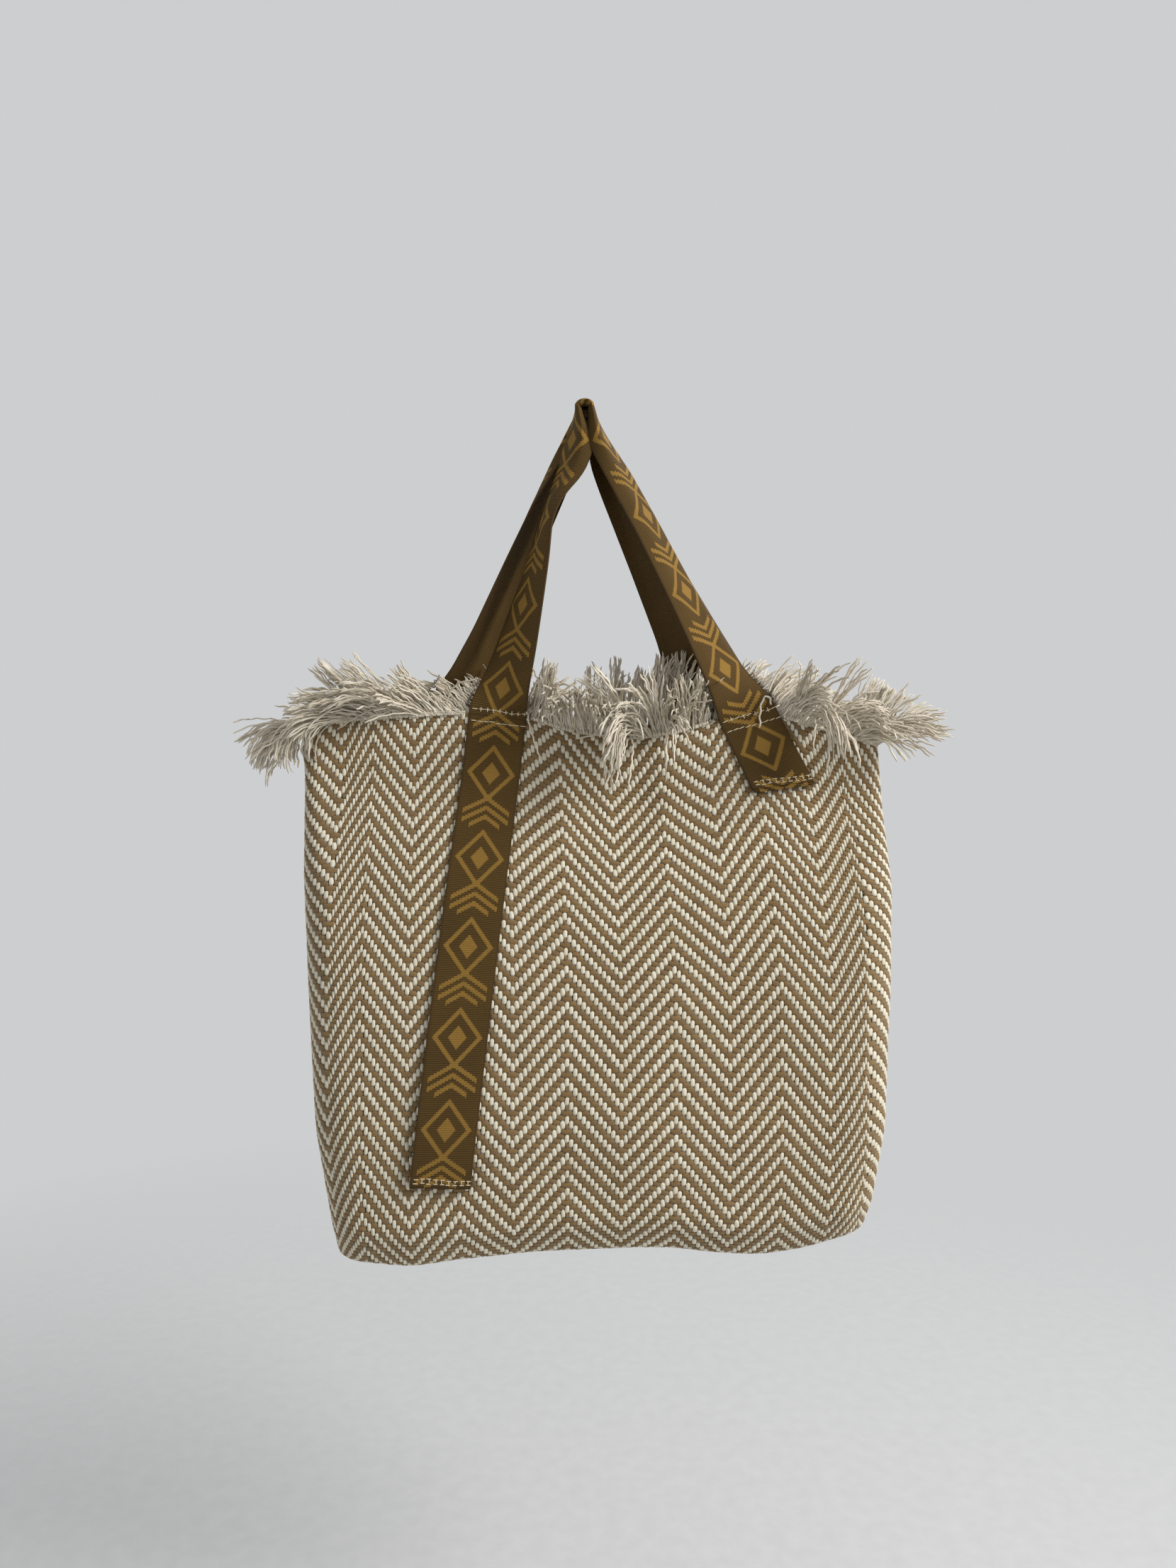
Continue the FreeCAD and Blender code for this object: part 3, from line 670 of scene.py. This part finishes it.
def legFrame(side, end, share):
    # Middle, across, through and edge curl of a leg at a share of the way up, its lean, and
    # the middle of the fold.
    foot = np.array([strapLook["ends"][end]["x"], -seatLevel, strapLook["footTop"]])
    centre = np.array([(bagShape["middleX"] - strapLook["foldX"]) * side, -strapLook["foldOut"],
                       strapLook["foldZ"]])
    toward = 1 if foot[0] < centre[0] else -1
    radius = strapLook["foldRadius"]
    run, climb = (centre[0] - foot[0]) * toward, centre[2] - foot[2]
    lean = math.atan2(run, climb) - math.asin(radius / math.hypot(run, climb))
    inward = np.array([toward * math.cos(lean), 0, -math.sin(lean)])
    turns = np.array(strapLook["turn"][side][end])
    turn, curl, shift = (float(softCurve(turns[:, [0, column]], 0.05, share)) for column in (1, 2, 3))
    turn, curl = math.radians(turn), math.radians(curl)
    across = inward * math.cos(turn) + forward * math.sin(turn)
    through = forward * math.cos(turn) - inward * math.sin(turn)
    middle = foot + (centre - inward * radius - foot) * share + inward * shift
    middle[1] = foot[1] + (centre[1] - foot[1]) * share ** 2
    return middle, across, through, curl, lean, centre


def curledSection(middle, across, through, curl):
    # A webbing cross-section whose edges fold back by the given angle, its length kept.
    finer = 6
    half = strapLook["width"] / 2
    spots = np.linspace(-half, half, strapLook["acrossSteps"] * finer + 1)
    bendFrom, bendTo, closer = strapLook["curlReach"]
    bendFrom, bendTo = bendFrom + closer * curl / math.pi, bendTo - closer * curl / math.pi
    heading = curl * ramp(np.abs(spots), bendFrom, bendTo - bendFrom) * np.sign(spots)

    def summed(part):
        total = np.concatenate([[0], np.cumsum((part[1:] + part[:-1]) / 2 * (spots[1] - spots[0]))])
        return total - total[len(spots) // 2]

    points = middle + np.outer(summed(np.cos(heading)), across) - np.outer(summed(np.sin(heading)), through)
    return points[::finer]


def handleSections(side):
    legs, leans = {}, {}
    for end, sense in (("long", 1), ("short", -1)):
        rows = []
        for s in np.linspace(strapLook["ends"][end]["foot"] / 2, 0.0015, 4):
            placed = tailPoint(side, end, acrossWebbing * sense, np.full_like(acrossWebbing, s))
            rows.append((placed - bagMiddle) * halfTurn[side])
        for share in np.linspace(0.02, 1, strapLook["legSteps"]):
            *section, leans[end], centre = legFrame(side, end, share)
            rows.append(curledSection(*section))
        legs[end] = np.array(rows)
    over = []
    for angle in np.linspace(math.pi - leans["long"], leans["short"], 11)[1:-1]:
        outward = np.array([math.cos(angle), 0, math.sin(angle)])
        over.append(curledSection(centre + outward * strapLook["foldRadius"], forward, outward,
                                  math.radians(strapLook["foldCurl"])))
    return np.concatenate([legs["long"], np.array(over), legs["short"][::-1]])


def webbingStrip(name, sections, startAlong, sense):
    # A flat grid of webbing laid through the sections, then given its thickness.
    rows, columns = sections.shape[:2]
    strip, flat = makeGrid(name, columns - 1, rows - 1)
    column = np.rint((flat[:, 0] + 1) / 2 * (columns - 1)).astype(int)
    row = np.rint((flat[:, 1] + 1) / 2 * (rows - 1)).astype(int)
    setVertices(strip, sections[row, column])
    lengths = runAlong(sections[:, columns // 2])
    uv = np.stack([acrossWebbing[column], startAlong + sense * lengths[row]], -1)
    corners = np.empty(len(strip.data.loops), np.int64)
    strip.data.loops.foreach_get("vertex_index", corners)
    strip.data.uv_layers[0].name = "UVMap"
    strip.data.uv_layers[0].data.foreach_set("uv", uv[corners].astype(np.float32).ravel())
    for finish in webbingFinishes:
        strip.data.materials.append(finish)
    return strip, lengths[-1]


def thicken(strip):
    applyModifier(strip, "SOLIDIFY", thickness=strapLook["thickness"], offset=0,
                  material_offset=1, material_offset_rim=1)
    sharp = math.radians(50)
    applyModifier(strip, "BEVEL", width=0.00035, segments=2, limit_method="ANGLE", angle_limit=sharp)
    bpy.ops.object.shade_smooth_by_angle(angle=sharp)


def wovenMotif(finish, uv, across, along, fibre):
    # Lozenges and chevrons that step with the ribs, as woven work does.
    stepped = (along / strapLook["rib"]).maths("FLOOR") * strapLook["rib"]
    place = (stepped / strapLook["repeat"]).maths("FRACT") * strapLook["repeat"]
    edge = (fibre - 0.5) * 0.0009

    def lozenge(middle, wide, tall):
        return abs(across) / wide + abs(place - middle) / tall

    motif = abs(lozenge(*strapLook["ring"]) + edge * 90 - 1.0) < 0.118
    motif = motif.maths("MAXIMUM", lozenge(*strapLook["heart"]) < 1.0)
    for wide, start in strapLook["chevrons"]:
        arm = abs(place - start - abs(across) * 0.62 + edge) < 0.00165
        motif = motif.maths("MAXIMUM", (abs(across) < wide) * arm)
    worn = finish.noise(finish.scaled(uv, (900, 300, 1)), 1.0, 3.0, 0.7)
    return motif * (worn * 0.35 + 0.72)


def webbingFinish(name, patterned):
    finish = Finish(name, Roughness=0.85, Specular_IOR_Level=0.3)
    uv = finish.laid()
    across, along = (finish.node("SeparateXYZ", None, {0: uv}, axis) for axis in "XY")
    ribs = (along * (2 * math.pi / strapLook["rib"])).maths("SINE")
    fibre = finish.noise(finish.scaled(uv, (2200, 500, 1)), 1.0, 3.0, 0.6)
    mottle = finish.noise(finish.place(), 26.0, 3.0)
    # the ribs darken the colour where their bump dips: painted shade in the grooves between the ribs
    share = fibre * 0.5 + mottle * 0.6 + ribs * 0.40 - 0.03
    colour = finish.mix(share, strapLook["brownShade"], strapLook["brown"])
    colour = finish.mix((abs(across) > strapLook["selvageFrom"]) * 0.45, colour, strapLook["selvage"])
    if patterned:
        colour = finish.mix(wovenMotif(finish, uv, across, along, fibre), colour, strapLook["ochre"])
    return finish.finished(colour, ribs * 0.5 + fibre * 0.6, 0.00025)


webbingFinishes = [webbingFinish("webbing face", True), webbingFinish("webbing reverse", False)]


def makeHandle(side):
    name = nameOf[side]
    strip, length = webbingStrip(name + "_handle_strap", placeOnSide(side, handleSections(side)), 1.0, -1)
    thicken(strip)
    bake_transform(strip)
    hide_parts(name + "_handle", name + "_long_foot", name + "_short_foot")
    return length


def makeTail(side, end, handleLength):
    size = strapLook["ends"][end]
    total = size["foot"] + size["tail"]
    rows = [tailPoint(side, end, acrossWebbing, skewedDrop(end, acrossWebbing, s))
            for s in np.linspace(size["foot"] / 2, total - 0.0009, max(8, int(total / 0.005)))]
    # the end is folded back behind itself and hemmed, and its fold shows as a lip
    last, before = rows[-1], rows[-2]
    down = unit(last - before)
    inward = np.array([0, -side, 0.0])
    lip = size["lip"]
    folds = [(0.0003, 0.0007), (0.0005 + lip * 0.3, 0.0013), (0.0005 + lip, 0.0014), (0.0011 + lip, 0.0018),
             (0.0012 + lip, 0.0024), (0.0009 + lip, 0.0029), (lip, 0.0031)]
    rows += [last + down * below + inward * under for below, under in folds]
    rows += [rows[-1] - down * strapLook["hem"] * share for share in (0.33, 0.66, 1.0)]
    name = f"{nameOf[side]}_{end}_tail"
    along, sense = (1.0, 1) if end == "long" else (1.0 - handleLength, -1)
    strip, length = webbingStrip(name + "_strap", np.array(rows), along, sense)
    with editing():
        bpy.ops.mesh.flip_normals()
    thicken(strip)
    lean = math.radians(size["lean"])
    way = np.array([math.sin(lean), 0, -math.cos(lean)])
    base = np.array([size["x"], 0, bagShape["rimZ"]])
    start, end_ = (placeOnSide(side, base + way * (size["foot"] + past)) for past in strapLook["tailBend"])
    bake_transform(strip)
    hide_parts(name)
    return strip, length


# ---- stitches

threadLook = {
    "length": 0.0042, "pitch": 0.0043, "thick": 0.00040, "margin": 0.0018,
    "colour": (228, 216, 186), "shade": (186, 170, 134),
    # each foot: its rows down from the rim, their slant in degrees, and a bar at every how many stitches
    "feet": {"long": ((0.0026, 0.0108), 0, 1), "short": ((0.0058, 0.0134), 9, 2)},
    # rows above a tail's end, the middle of the bars that join them, and the lengths of the bars
    "hemRows": (0.0048, 0.0022), "hemBars": 0.0038, "hemBar": 0.0022, "footBar": 0.0034,
}


def threadFinish():
    finish = Finish("sewing thread", Roughness=0.6, Sheen_Weight=0.2)
    twist = finish.noise(finish.scaled(finish.place(), (2600, 2600, 2600)), 1.0)
    return finish.finished(finish.mix(twist, threadLook["shade"], threadLook["colour"]), twist)


thread = threadFinish()


def makeStitchTemplate():
    bpy.ops.mesh.primitive_uv_sphere_add(segments=6, ring_count=6, radius=1)
    points, faces = takeShape(takeMade("stitchTemplate"))
    points = points[:, [2, 0, 1]]  # its poles point along X
    points[:, 0] = np.sign(points[:, 0]) * np.abs(points[:, 0]) ** 0.7
    return points, faces


stitchPoints, stitchFaces = makeStitchTemplate()


def stitchesAt(name, stitches, body, *nodes):
    # Copies the stitch to each centre, lying along its direction.
    centres, directions, normals, lengths = (np.concatenate(part) for part in zip(*stitches))
    thick = threadLook["thick"]
    axes = (directions * lengths[:, None] * 0.5, np.cross(normals, directions) * thick, normals * thick * 0.9)
    points = centres[:, None] + sum(axis[:, None] * stitchPoints[:, index, None]
                                    for index, axis in enumerate(axes))
    offsets = np.arange(len(centres))[:, None] * len(stitchPoints)
    piece = meshFrom(name, points.reshape(-1, 3), [offsets + face for face in stitchFaces])
    piece.data.materials.append(thread)
    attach(piece, body)
    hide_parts(*nodes)
    return piece


def rowOnStrap(side, end, s, rng, slant=0):
    # Centres, directions, normals and ways down of one row across the webbing.
    half = strapLook["width"] / 2 - threadLook["margin"]
    a = np.arange(-half, half, threadLook["pitch"]) + threadLook["pitch"] / 2
    a = a + rng.normal(0, 0.0002, len(a))
    sway = s + rng.normal(0, 0.00022, len(a)) + 0.0004 * np.sin(a * 150) + a * math.tan(math.radians(slant))
    near = 0.0005
    here = tailPoint(side, end, a, skewedDrop(end, a, sway))
    direction = unit(tailPoint(side, end, a + near, skewedDrop(end, a + near, sway)) - here)
    way = unit(tailPoint(side, end, a, skewedDrop(end, a, sway) + near) - here)
    normal = unit(np.cross(direction, way))
    normal *= np.sign(normal[:, 1] * side)[:, None]
    return here + normal * (strapLook["thickness"] / 2 + 0.00008), direction, normal, way


def makeStitches(side, end):
    size = strapLook["ends"][end]
    rng = np.random.default_rng(40 + side + (7 if end == "long" else 0))
    label = f"{nameOf[side]}_{end}"

    def rows(drops, barDrop, barLength, every, share, slant=0):
        stitches = []
        for s in drops:
            centre, direction, normal, _ = rowOnStrap(side, end, s, rng, slant)
            stitches.append((centre, direction, normal, np.full(len(centre), threadLook["length"] * share)))
        bars = rowOnStrap(side, end, barDrop, rng, slant)
        centre, _, normal, way = (part[1::every] for part in bars)
        return stitches + [(centre, way, normal, np.full(len(centre), barLength))]

    drops, slant, every = threadLook["feet"][end]
    foot = rows(drops, drops[0], threadLook["footBar"], every, 1, slant)
    stitchesAt(label + "_foot_thread", foot, bodyOf[side], label + "_foot_stitches")
    total = size["foot"] + size["tail"]
    hem = rows([total - drop for drop in threadLook["hemRows"]], total - threadLook["hemBars"],
               threadLook["hemBar"], 1, 0.8)
    return stitchesAt(label + "_hem_thread", hem, label + "_tail", label + "_hem_stitches")


for side in (front, back):
    handleLength = makeHandle(side)
    for end in ("long", "short"):
        tail, length = makeTail(side, end, handleLength)
        hemThread = makeStitches(side, end)
print("straps sewn on")


# ---- fringe

fringeLook = {
    "clumps": 112,
    "perClump": 9,
    "length": 0.047,
    "radius": 0.00071,
    "steps": 28,
    "standing": 0.08,  # share of the clumps that stand up
    "astray": (0.06, 3.0),  # share of the strands that stray, and how much farther
    # how far clumps and single strands stray from the comb: lean, reach, tilt, turn, length, swing
    "clumpStray": (0.18, 0.18, 7, 0.18, 0.07, 0.30),
    "strandStray": (0.12, 0.10, 12, 9, 0.04, 0.10),
    "rootInset": 0.0013,  # the roots lie this far inside the cloth's face
    "overCloth": 0.0017,  # a strand's middle from the cloth
    # above the rim: how near the middle plane a strand comes freely, and how much farther at most
    "inward": (0.010, {front: 0.008, back: 0.005}),
    "behindStrap": 0.0032,  # a strand's middle behind a strap's
    "besideStrap": 0.0030,  # how far past a strap's edge that holds
    "beforeStraps": 0.040,  # strands that stand out this far pass in front of the straps
    "farOut": (0.056, 0.55),  # past this, what stands out is drawn in to a share
    # the darker cream is partly the yarn's own tone and partly painted shade between the strands
    "cream": (240, 232, 216),
    "creamShade": (184, 171, 146),
    # along the rim: x, lean to the right, reach outward, first tilt, turn over, longer by
    "comb": {
        front: [(-.200, -1, .15, 108, 70, 1.1), (-.193, -1, .2, 100, 80, 1.15), (-.184, -1, .3, 84, 92, 1.15),
                (-.172, -1, .35, 66, 90, 1.1), (-.150, -1, .45, 54, 70, 1.05), (-.110, -.9, .55, 52, 54, 1),
                (-.088, -.7, -.3, 60, 30, .9), (-.038, .2, -.5, 30, 40, .9), (-.030, -.1, .9, 14, 60, 1),
                (-.010, -.3, .9, 30, 75, 1), (.020, -.2, 1, 30, 80, 1), (.030, -.3, 1, 60, 105, 1.3),
                (.046, -.3, 1, 58, 108, 1.3), (.054, -.2, .9, 16, 50, 1), (.064, -.35, 1, 56, 105, 1.2),
                (.072, .1, .8, 15, 50, 1), (.080, .2, .5, 18, 45, 1), (.095, .4, -.4, 24, 30, .9),
                (.130, .7, -.3, 28, 40, 1), (.140, .9, .8, 36, 75, 1), (.152, .6, 1, 54, 108, 1.15),
                (.162, .4, 1, 56, 110, 1.15), (.172, .9, .6, 44, 70, 1), (.186, 1, .5, 52, 62, 1),
                (.198, 1, .25, 62, 48, 1.15), (.212, 1, .15, 68, 46, 1.2)],
        back: [(-.200, -1, .2, 94, 80, 1.1), (-.180, -1, .3, 70, 80, 1.05), (-.150, -.8, .4, 42, 60, 1),
               (-.115, -.6, .3, 50, 45, .9), (-.070, -.2, -.5, 40, 35, .9), (-.050, .3, .6, 20, 60, 1),
               (0, -.4, .8, 22, 75, 1), (.040, .2, .6, 10, 45, 1), (.060, .2, -.4, 14, 35, 1),
               (.100, .3, -.5, 20, 35, 1), (.120, .5, .4, 22, 50, 1), (.170, .8, .4, 36, 55, 1),
               (.198, .6, -.2, 24, 30, 1.1), (.212, 1, .2, 60, 50, 1.1)],
    },
    # single strands that lie across the front, in millimetres: x, out from the middle plane, z
    "strays": [
        [(130.2, 15.2, -212.5), (129.5, 17.8, -207.2), (125.2, 18.6, -206), (122.8, 17.2, -211),
         (122.1, 15.6, -220), (122.3, 15.4, -229)],
        [(-96, 12, -212), (-91.9, 17.5, -202), (-85, 19.5, -196.5), (-76.1, 20, -195.5),
         (-72.2, 20, -193.5)],
        [(-125, 12.5, -215), (-135, 17.5, -212.5), (-149, 18, -216.5), (-160, 17.5, -222.5),
         (-171, 17.5, -230)],
        [(-40, 13, -215), (-38.5, 17, -219), (-37, 17.5, -229), (-33, 18, -240), (-29.5, 18.5, -250)],
        [(23, 13, -215), (20, 20, -216), (13, 20.5, -224), (8, 19, -233), (-6, 18.5, -236)],
    ],
}


def fringeFinish():
    finish = Finish("fringe yarn", Roughness=0.95, Sheen_Weight=0.3, Sheen_Roughness=0.5)
    ply = finish.noise(finish.scaled(finish.laid(), (1.5, 900, 1)), 1.0)
    # each strand takes a random tone between the two creams; the darker cream is deepened to stand for the
    # shade between strands, so this is partly the yarn's own tone and partly painted shade
    share = finish.shade() * 0.75 + ply * 0.35 + finish.noise(finish.place(), 30.0) * 0.30 - 0.12
    return finish.finished(finish.mix(share, fringeLook["creamShade"], fringeLook["cream"]), ply, 0.0001)


fringeYarn = fringeFinish()


def strandPaths(side, rng):
    look = fringeLook
    clumps, perClump, steps = look["clumps"], look["perClump"], look["steps"]
    count = clumps * perClump
    owner = np.repeat(np.arange(clumps), perClump)
    clumpAcross = np.linspace(-0.985, 0.985, clumps) + rng.normal(0, 0.003, clumps)
    across = np.clip(clumpAcross[owner] + rng.uniform(-1.15, 1.15, count) / clumps, -0.99, 0.99)
    root, _, _, normal = clothFrame(side, across, np.full(count, 0.0008), look["rootInset"])
    root = root + normal * rng.uniform(-0.0008, 0.0008, (count, 1))
    comb = np.array(look["comb"][side])
    lean, reach, tilt, turn, longer = (np.interp(root[:, 0], comb[:, 0], column) for column in comb.T[1:])
    # neighbouring clumps hang much alike
    together = rng.standard_normal((clumps + 4, 6))
    together = np.stack([np.convolve(column, [0.2, 0.5, 0.8, 0.5, 0.2], "valid") for column in together.T], 1)
    together = together[owner] * look["clumpStray"]
    own = rng.standard_normal((count, 6)) * 0.6 * look["strandStray"]
    few, farther = look["astray"]
    astray = np.where(rng.random(count) < few, farther, 1.0)
    # sideways along the rim, and outward from it
    level = unit(normal * np.array([1, 1, 0]))
    lean = lean + together[:, 0] + own[:, 0] * astray
    reach = reach + together[:, 1] + own[:, 1] * astray
    way = np.outer(lean, [1.0, 0, 0]) + level * reach[:, None]
    way[:, 2] = 0
    way = unit(way)
    tilt = np.radians(tilt + together[:, 2] + own[:, 2])
    turn = np.radians(turn * (1 + together[:, 3]) + own[:, 3] * astray)
    standing = ((rng.random(clumps) < look["standing"]) & (np.abs(clumpAcross) < 0.75))[owner]
    turn = np.where(standing, turn * 0.35, turn)
    tilt = np.where(standing, tilt * 0.6, tilt)
    length = look["length"] * longer * (1 + together[:, 4] + own[:, 4])
    share = np.linspace(0, 1, steps)
    # every strand of a clump bends along with the others
    pace = rng.uniform(3, 6, (clumps, 1))[owner]
    start = rng.uniform(0, 6.3, (clumps, 1))[owner]
    fallen = tilt[:, None] + turn[:, None] * share ** 1.1 + 0.16 * np.sin(share * pace + start)
    swing = together[:, 5:] + own[:, 5:] * astray[:, None] + 0.22 * np.sin(share * pace * 0.8 + start * 2)
    swing = swing * share
    cosine, sine = np.cos(swing), np.sin(swing)
    heading = np.stack([(way[:, :1] * cosine - way[:, 1:2] * sine) * np.sin(fallen),
                        (way[:, :1] * sine + way[:, 1:2] * cosine) * np.sin(fallen),
                        np.cos(fallen)], -1)
    stride = heading * (length / (steps - 1))[:, None, None]
    path = root[:, None] + np.concatenate([np.zeros((count, 1, 3)), np.cumsum(stride[:, :-1], 1)], 1)
    centreLine = np.stack([path[owner == index].mean(0) for index in range(clumps)])[owner]
    gather = rng.uniform(-0.35, 0.25, (clumps, 1))[owner]
    path += (centreLine - path) * (gather * share ** 1.2)[..., None]
    # crimp left by the weaving
    aside = unit(np.cross(heading, rng.standard_normal((count, 1, 3))))
    phase = start + rng.uniform(-0.9, 0.9, (count, 1))
    waves = length[:, None] / rng.uniform(0.0090, 0.0125, (count, 1))
    crimp = np.sin(share * waves * 2 * math.pi + phase) * rng.uniform(0.0003, 0.0007, (count, 1))
    path += aside * (crimp * np.clip(share * 6, 0, 1))[..., None]
    return path


def strayPaths(side, rng):
    # The few strands that are laid one by one.
    found = []
    for knots in fringeLook["strays"]:
        knots = np.array(knots) * [0.001, 0.001 * side, 0.001]
        reach = runAlong(knots)
        at = np.linspace(0, reach[-1], fringeLook["steps"])
        line = np.stack([softCurve(np.stack([reach, column], 1), 0.004, at) for column in knots.T], -1)
        line[:, 0] += 0.0004 * np.sin(at * 800 + rng.uniform(0, 6))
        found.append(line)
    return np.array(found)


def keepClear(side, path):
    # Holds the strands off the cloth and behind the straps.
    look = fringeLook
    flat = path.reshape(-1, 3)
    out = flat[:, 1] * side
    x, z = flat[:, 0], flat[:, 2]
    below = (x > -0.187) & (x < 0.207) & (z < bagShape["rimZ"] + 0.001)
    cloth = outFromMiddle(side, x[below], z[below]) + look["overCloth"]
    sunk = z[below] < bagShape["rimZ"] - softCurve(bagShape["rimSag"][side], 0.016, x[below])
    out[below] = np.where(sunk, np.maximum(out[below], cloth), out[below])
    # above the rim, each half's strands keep to their own side of the bag
    free, most = look["inward"][0], look["inward"][1][side]
    inward = np.maximum(free - out, 0)
    above = z > bagShape["rimZ"] - 0.004
    out = np.where(above, out + inward - most * (1 - np.exp(-inward / most)), out)
    for end in ("long", "short"):
        size = strapLook["ends"][end]
        frames = [legFrame(side, end, share) for share in np.linspace(0, 0.4, 21)]
        middles = placeOnSide(side, np.array([found[0] for found in frames]))
        slope = np.array([found[1] for found in frames]) * halfTurn[side]
        lean = math.radians(size["lean"]) * -side
        drop = np.maximum(strapLook["footTop"] - z, 0)
        legX = np.interp(z, middles[:, 2], middles[:, 0]) + drop * math.tan(lean)
        sideways = np.interp(z, middles[:, 2], slope[:, 0]) / math.cos(frames[0][4]) ** 2
        outward = np.interp(z, middles[:, 2], slope[:, 1] * side) * (drop == 0)
        webbing = seatLevel + (x - legX) * outward / sideways
        aside = np.abs((x - legX) / sideways)
        # the webbing's edges curl back toward the strands
        behind = webbing - look["behindStrap"] - 0.7 * np.maximum(aside - 0.006, 0) * (drop == 0)
        isBehind = (aside < strapLook["width"] / 2 + look["besideStrap"]) & (out < look["beforeStraps"])
        out = np.where(isBehind, np.minimum(out, behind), out)
    farOut, kept = look["farOut"]
    out = np.where(out > farOut, farOut + (out - farOut) * kept, out)
    flat[:, 1] = out * side
    return flat.reshape(path.shape)


def strandMesh(name, path, rng):
    count, steps = path.shape[:2]
    sides = 3
    heading = unit(np.gradient(path, axis=1))
    sideA = unit(np.cross(heading, rng.standard_normal((count, 1, 3))))
    sideB = np.cross(heading, sideA)
    taper = np.concatenate([np.full(steps - 2, 1.0), [0.8, 0.35]])
    radius = fringeLook["radius"] * rng.uniform(0.8, 1.2, (count, 1)) * taper
    angles = np.arange(sides) * 2 * math.pi / sides
    around = sideA[:, :, None] * np.cos(angles)[:, None] + sideB[:, :, None] * np.sin(angles)[:, None]
    points = path[:, :, None] + around * radius[..., None, None]  # strand, step, corner
    index = np.arange(count * steps * sides).reshape(count, steps, sides)
    near, far = index[:, :-1], index[:, 1:]
    quads = np.stack([near, np.roll(near, -1, 2), np.roll(far, -1, 2), far], -1)
    uv = np.stack([np.tile(np.arange(sides) / sides, count * steps),
                   np.repeat(np.tile(np.linspace(0, fringeLook["length"], steps), count)
                             + np.repeat(rng.random(count), steps), sides)], -1)
    shade = np.repeat(rng.random(count), steps * sides)
    faces = [quads.reshape(-1, 4), index[:, 0, ::-1], index[:, -1]]
    return meshFrom(name, points.reshape(-1, 3), faces, uv, shade)


def makeFringe(side):
    rng = np.random.default_rng(70 + side)
    path = keepClear(side, strandPaths(side, rng))
    if side == front:
        path = np.concatenate([path, strayPaths(side, rng)])
    piece = strandMesh(nameOf[side] + "_fringe_yarn", path, rng)
    piece.data.materials.append(fringeYarn)
    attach(piece, bodyOf[side])
    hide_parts(nameOf[side] + "_fringe")


for side in (front, back):
    makeFringe(side)
print("fringe combed")


# ---- snap

snapLook = {"brass": (150, 122, 74), "dark": (96, 74, 42)}


def brassFinish():
    finish = Finish("antique brass", Metallic=1.0, Roughness=0.35)
    patina = finish.noise(finish.place(), 260.0, 4.0, 0.6)
    colour = finish.mix(patina, snapLook["dark"], snapLook["brass"])
    return finish.finished(colour, patina, 0.00005, patina * 0.25 + 0.22)


brass = brassFinish()
for node in ("snap_socket", "snap_stud", "socket_washer", "stud_washer"):
    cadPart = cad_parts[node]
    cadPart.data.materials.clear()
    cadPart.data.materials.append(brass)
print("snap finished")


# ---- stage, light and camera

stageLook = {
    "floorZ": -0.95,
    "floorRadius": 1.6,
    "clear": 0.35,  # from here out, the floor fades into the backdrop,
    "fade": 1.15,  # over this far
    "pale": (205, 206, 207),
    "grain": ((196, 197, 198), (208, 209, 210)),
    "skyStrength": 0.42,
}


def makeStage():
    bpy.ops.mesh.primitive_circle_add(vertices=96, radius=stageLook["floorRadius"], fill_type="NGON",
                                      location=(0, 0, stageLook["floorZ"]))
    floor = takeMade("floor")
    finish = Finish("pale floor", Roughness=0.9)
    place = finish.place()
    away = finish.node("VectorMath", {"operation": "LENGTH"}, {0: finish.scaled(place, (1, 1, 0))}, "Value")
    grain = finish.noise(place, 60.0)
    finish.feed(finish.shader.inputs["Alpha"], 1 - (away - stageLook["clear"]) / stageLook["fade"])
    floor.data.materials.append(finish.finished(finish.mix(grain, *stageLook["grain"]), grain, 0.0003))


def makeWorld():
    # The world lights softly, and a camera, mirror or glass sees the pale backdrop in it.
    world = bpy.data.worlds.new("studio")
    bpy.context.scene.world = world
    world.use_nodes = True
    nodes, links = world.node_tree.nodes, world.node_tree.links
    light, seen = nodes["Background"], nodes.new("ShaderNodeBackground")
    light.inputs["Color"].default_value = (1.0, 0.995, 0.98, 1)
    light.inputs["Strength"].default_value = stageLook["skyStrength"]
    seen.inputs["Color"].default_value = paint(*stageLook["pale"])
    mixer, rays = nodes.new("ShaderNodeMixShader"), nodes.new("ShaderNodeLightPath")
    either = rays.outputs["Is Camera Ray"]
    for ray in ("Is Glossy Ray", "Is Transmission Ray"):
        adder = nodes.new("ShaderNodeMath")
        adder.operation = "MAXIMUM"
        links.new(either, adder.inputs[0])
        links.new(rays.outputs[ray], adder.inputs[1])
        either = adder.outputs[0]
    for socket, source in enumerate((either, light.outputs[0], seen.outputs[0])):
        links.new(source, mixer.inputs[socket])
    links.new(mixer.outputs[0], nodes["World Output"].inputs["Surface"])


bagCentre = Vector((0, 0, -0.38))
lamps = {  # place, size, power, colour
    "key": ((1.55, -0.85, 0.70), 0.8, 38, (1.0, 0.98, 0.95)),
    "fill": ((-1.0, -1.4, -0.1), 1.4, 1.5, (0.94, 0.97, 1.0)),
    "rear": ((0.3, 1.5, 0.8), 1.3, 16, (0.96, 0.98, 1.0)),
}


def makeLamps():
    for name, (place, size, power, colour) in lamps.items():
        bpy.ops.object.light_add(type="AREA", location=place)
        lamp = bpy.context.active_object
        lamp.name = name + "Lamp"
        lamp.data.size = size
        lamp.data.energy = power
        lamp.data.color = colour
        lamp.rotation_euler = (bagCentre - lamp.location).to_track_quat("-Z", "Y").to_euler()


cameraLook = {"lens": 26, "place": (0.0032, -0.800, -0.267)}


def makeCamera():
    bpy.ops.object.camera_add(location=cameraLook["place"], rotation=(math.radians(90), 0, 0))
    camera = bpy.context.active_object
    camera.data.lens = cameraLook["lens"]
    camera.data.sensor_width = 36
    bpy.context.scene.camera = camera


makeStage()
makeWorld()
makeLamps()
makeCamera()
bpy.context.scene.view_settings.view_transform = "Standard"
print("stage set")
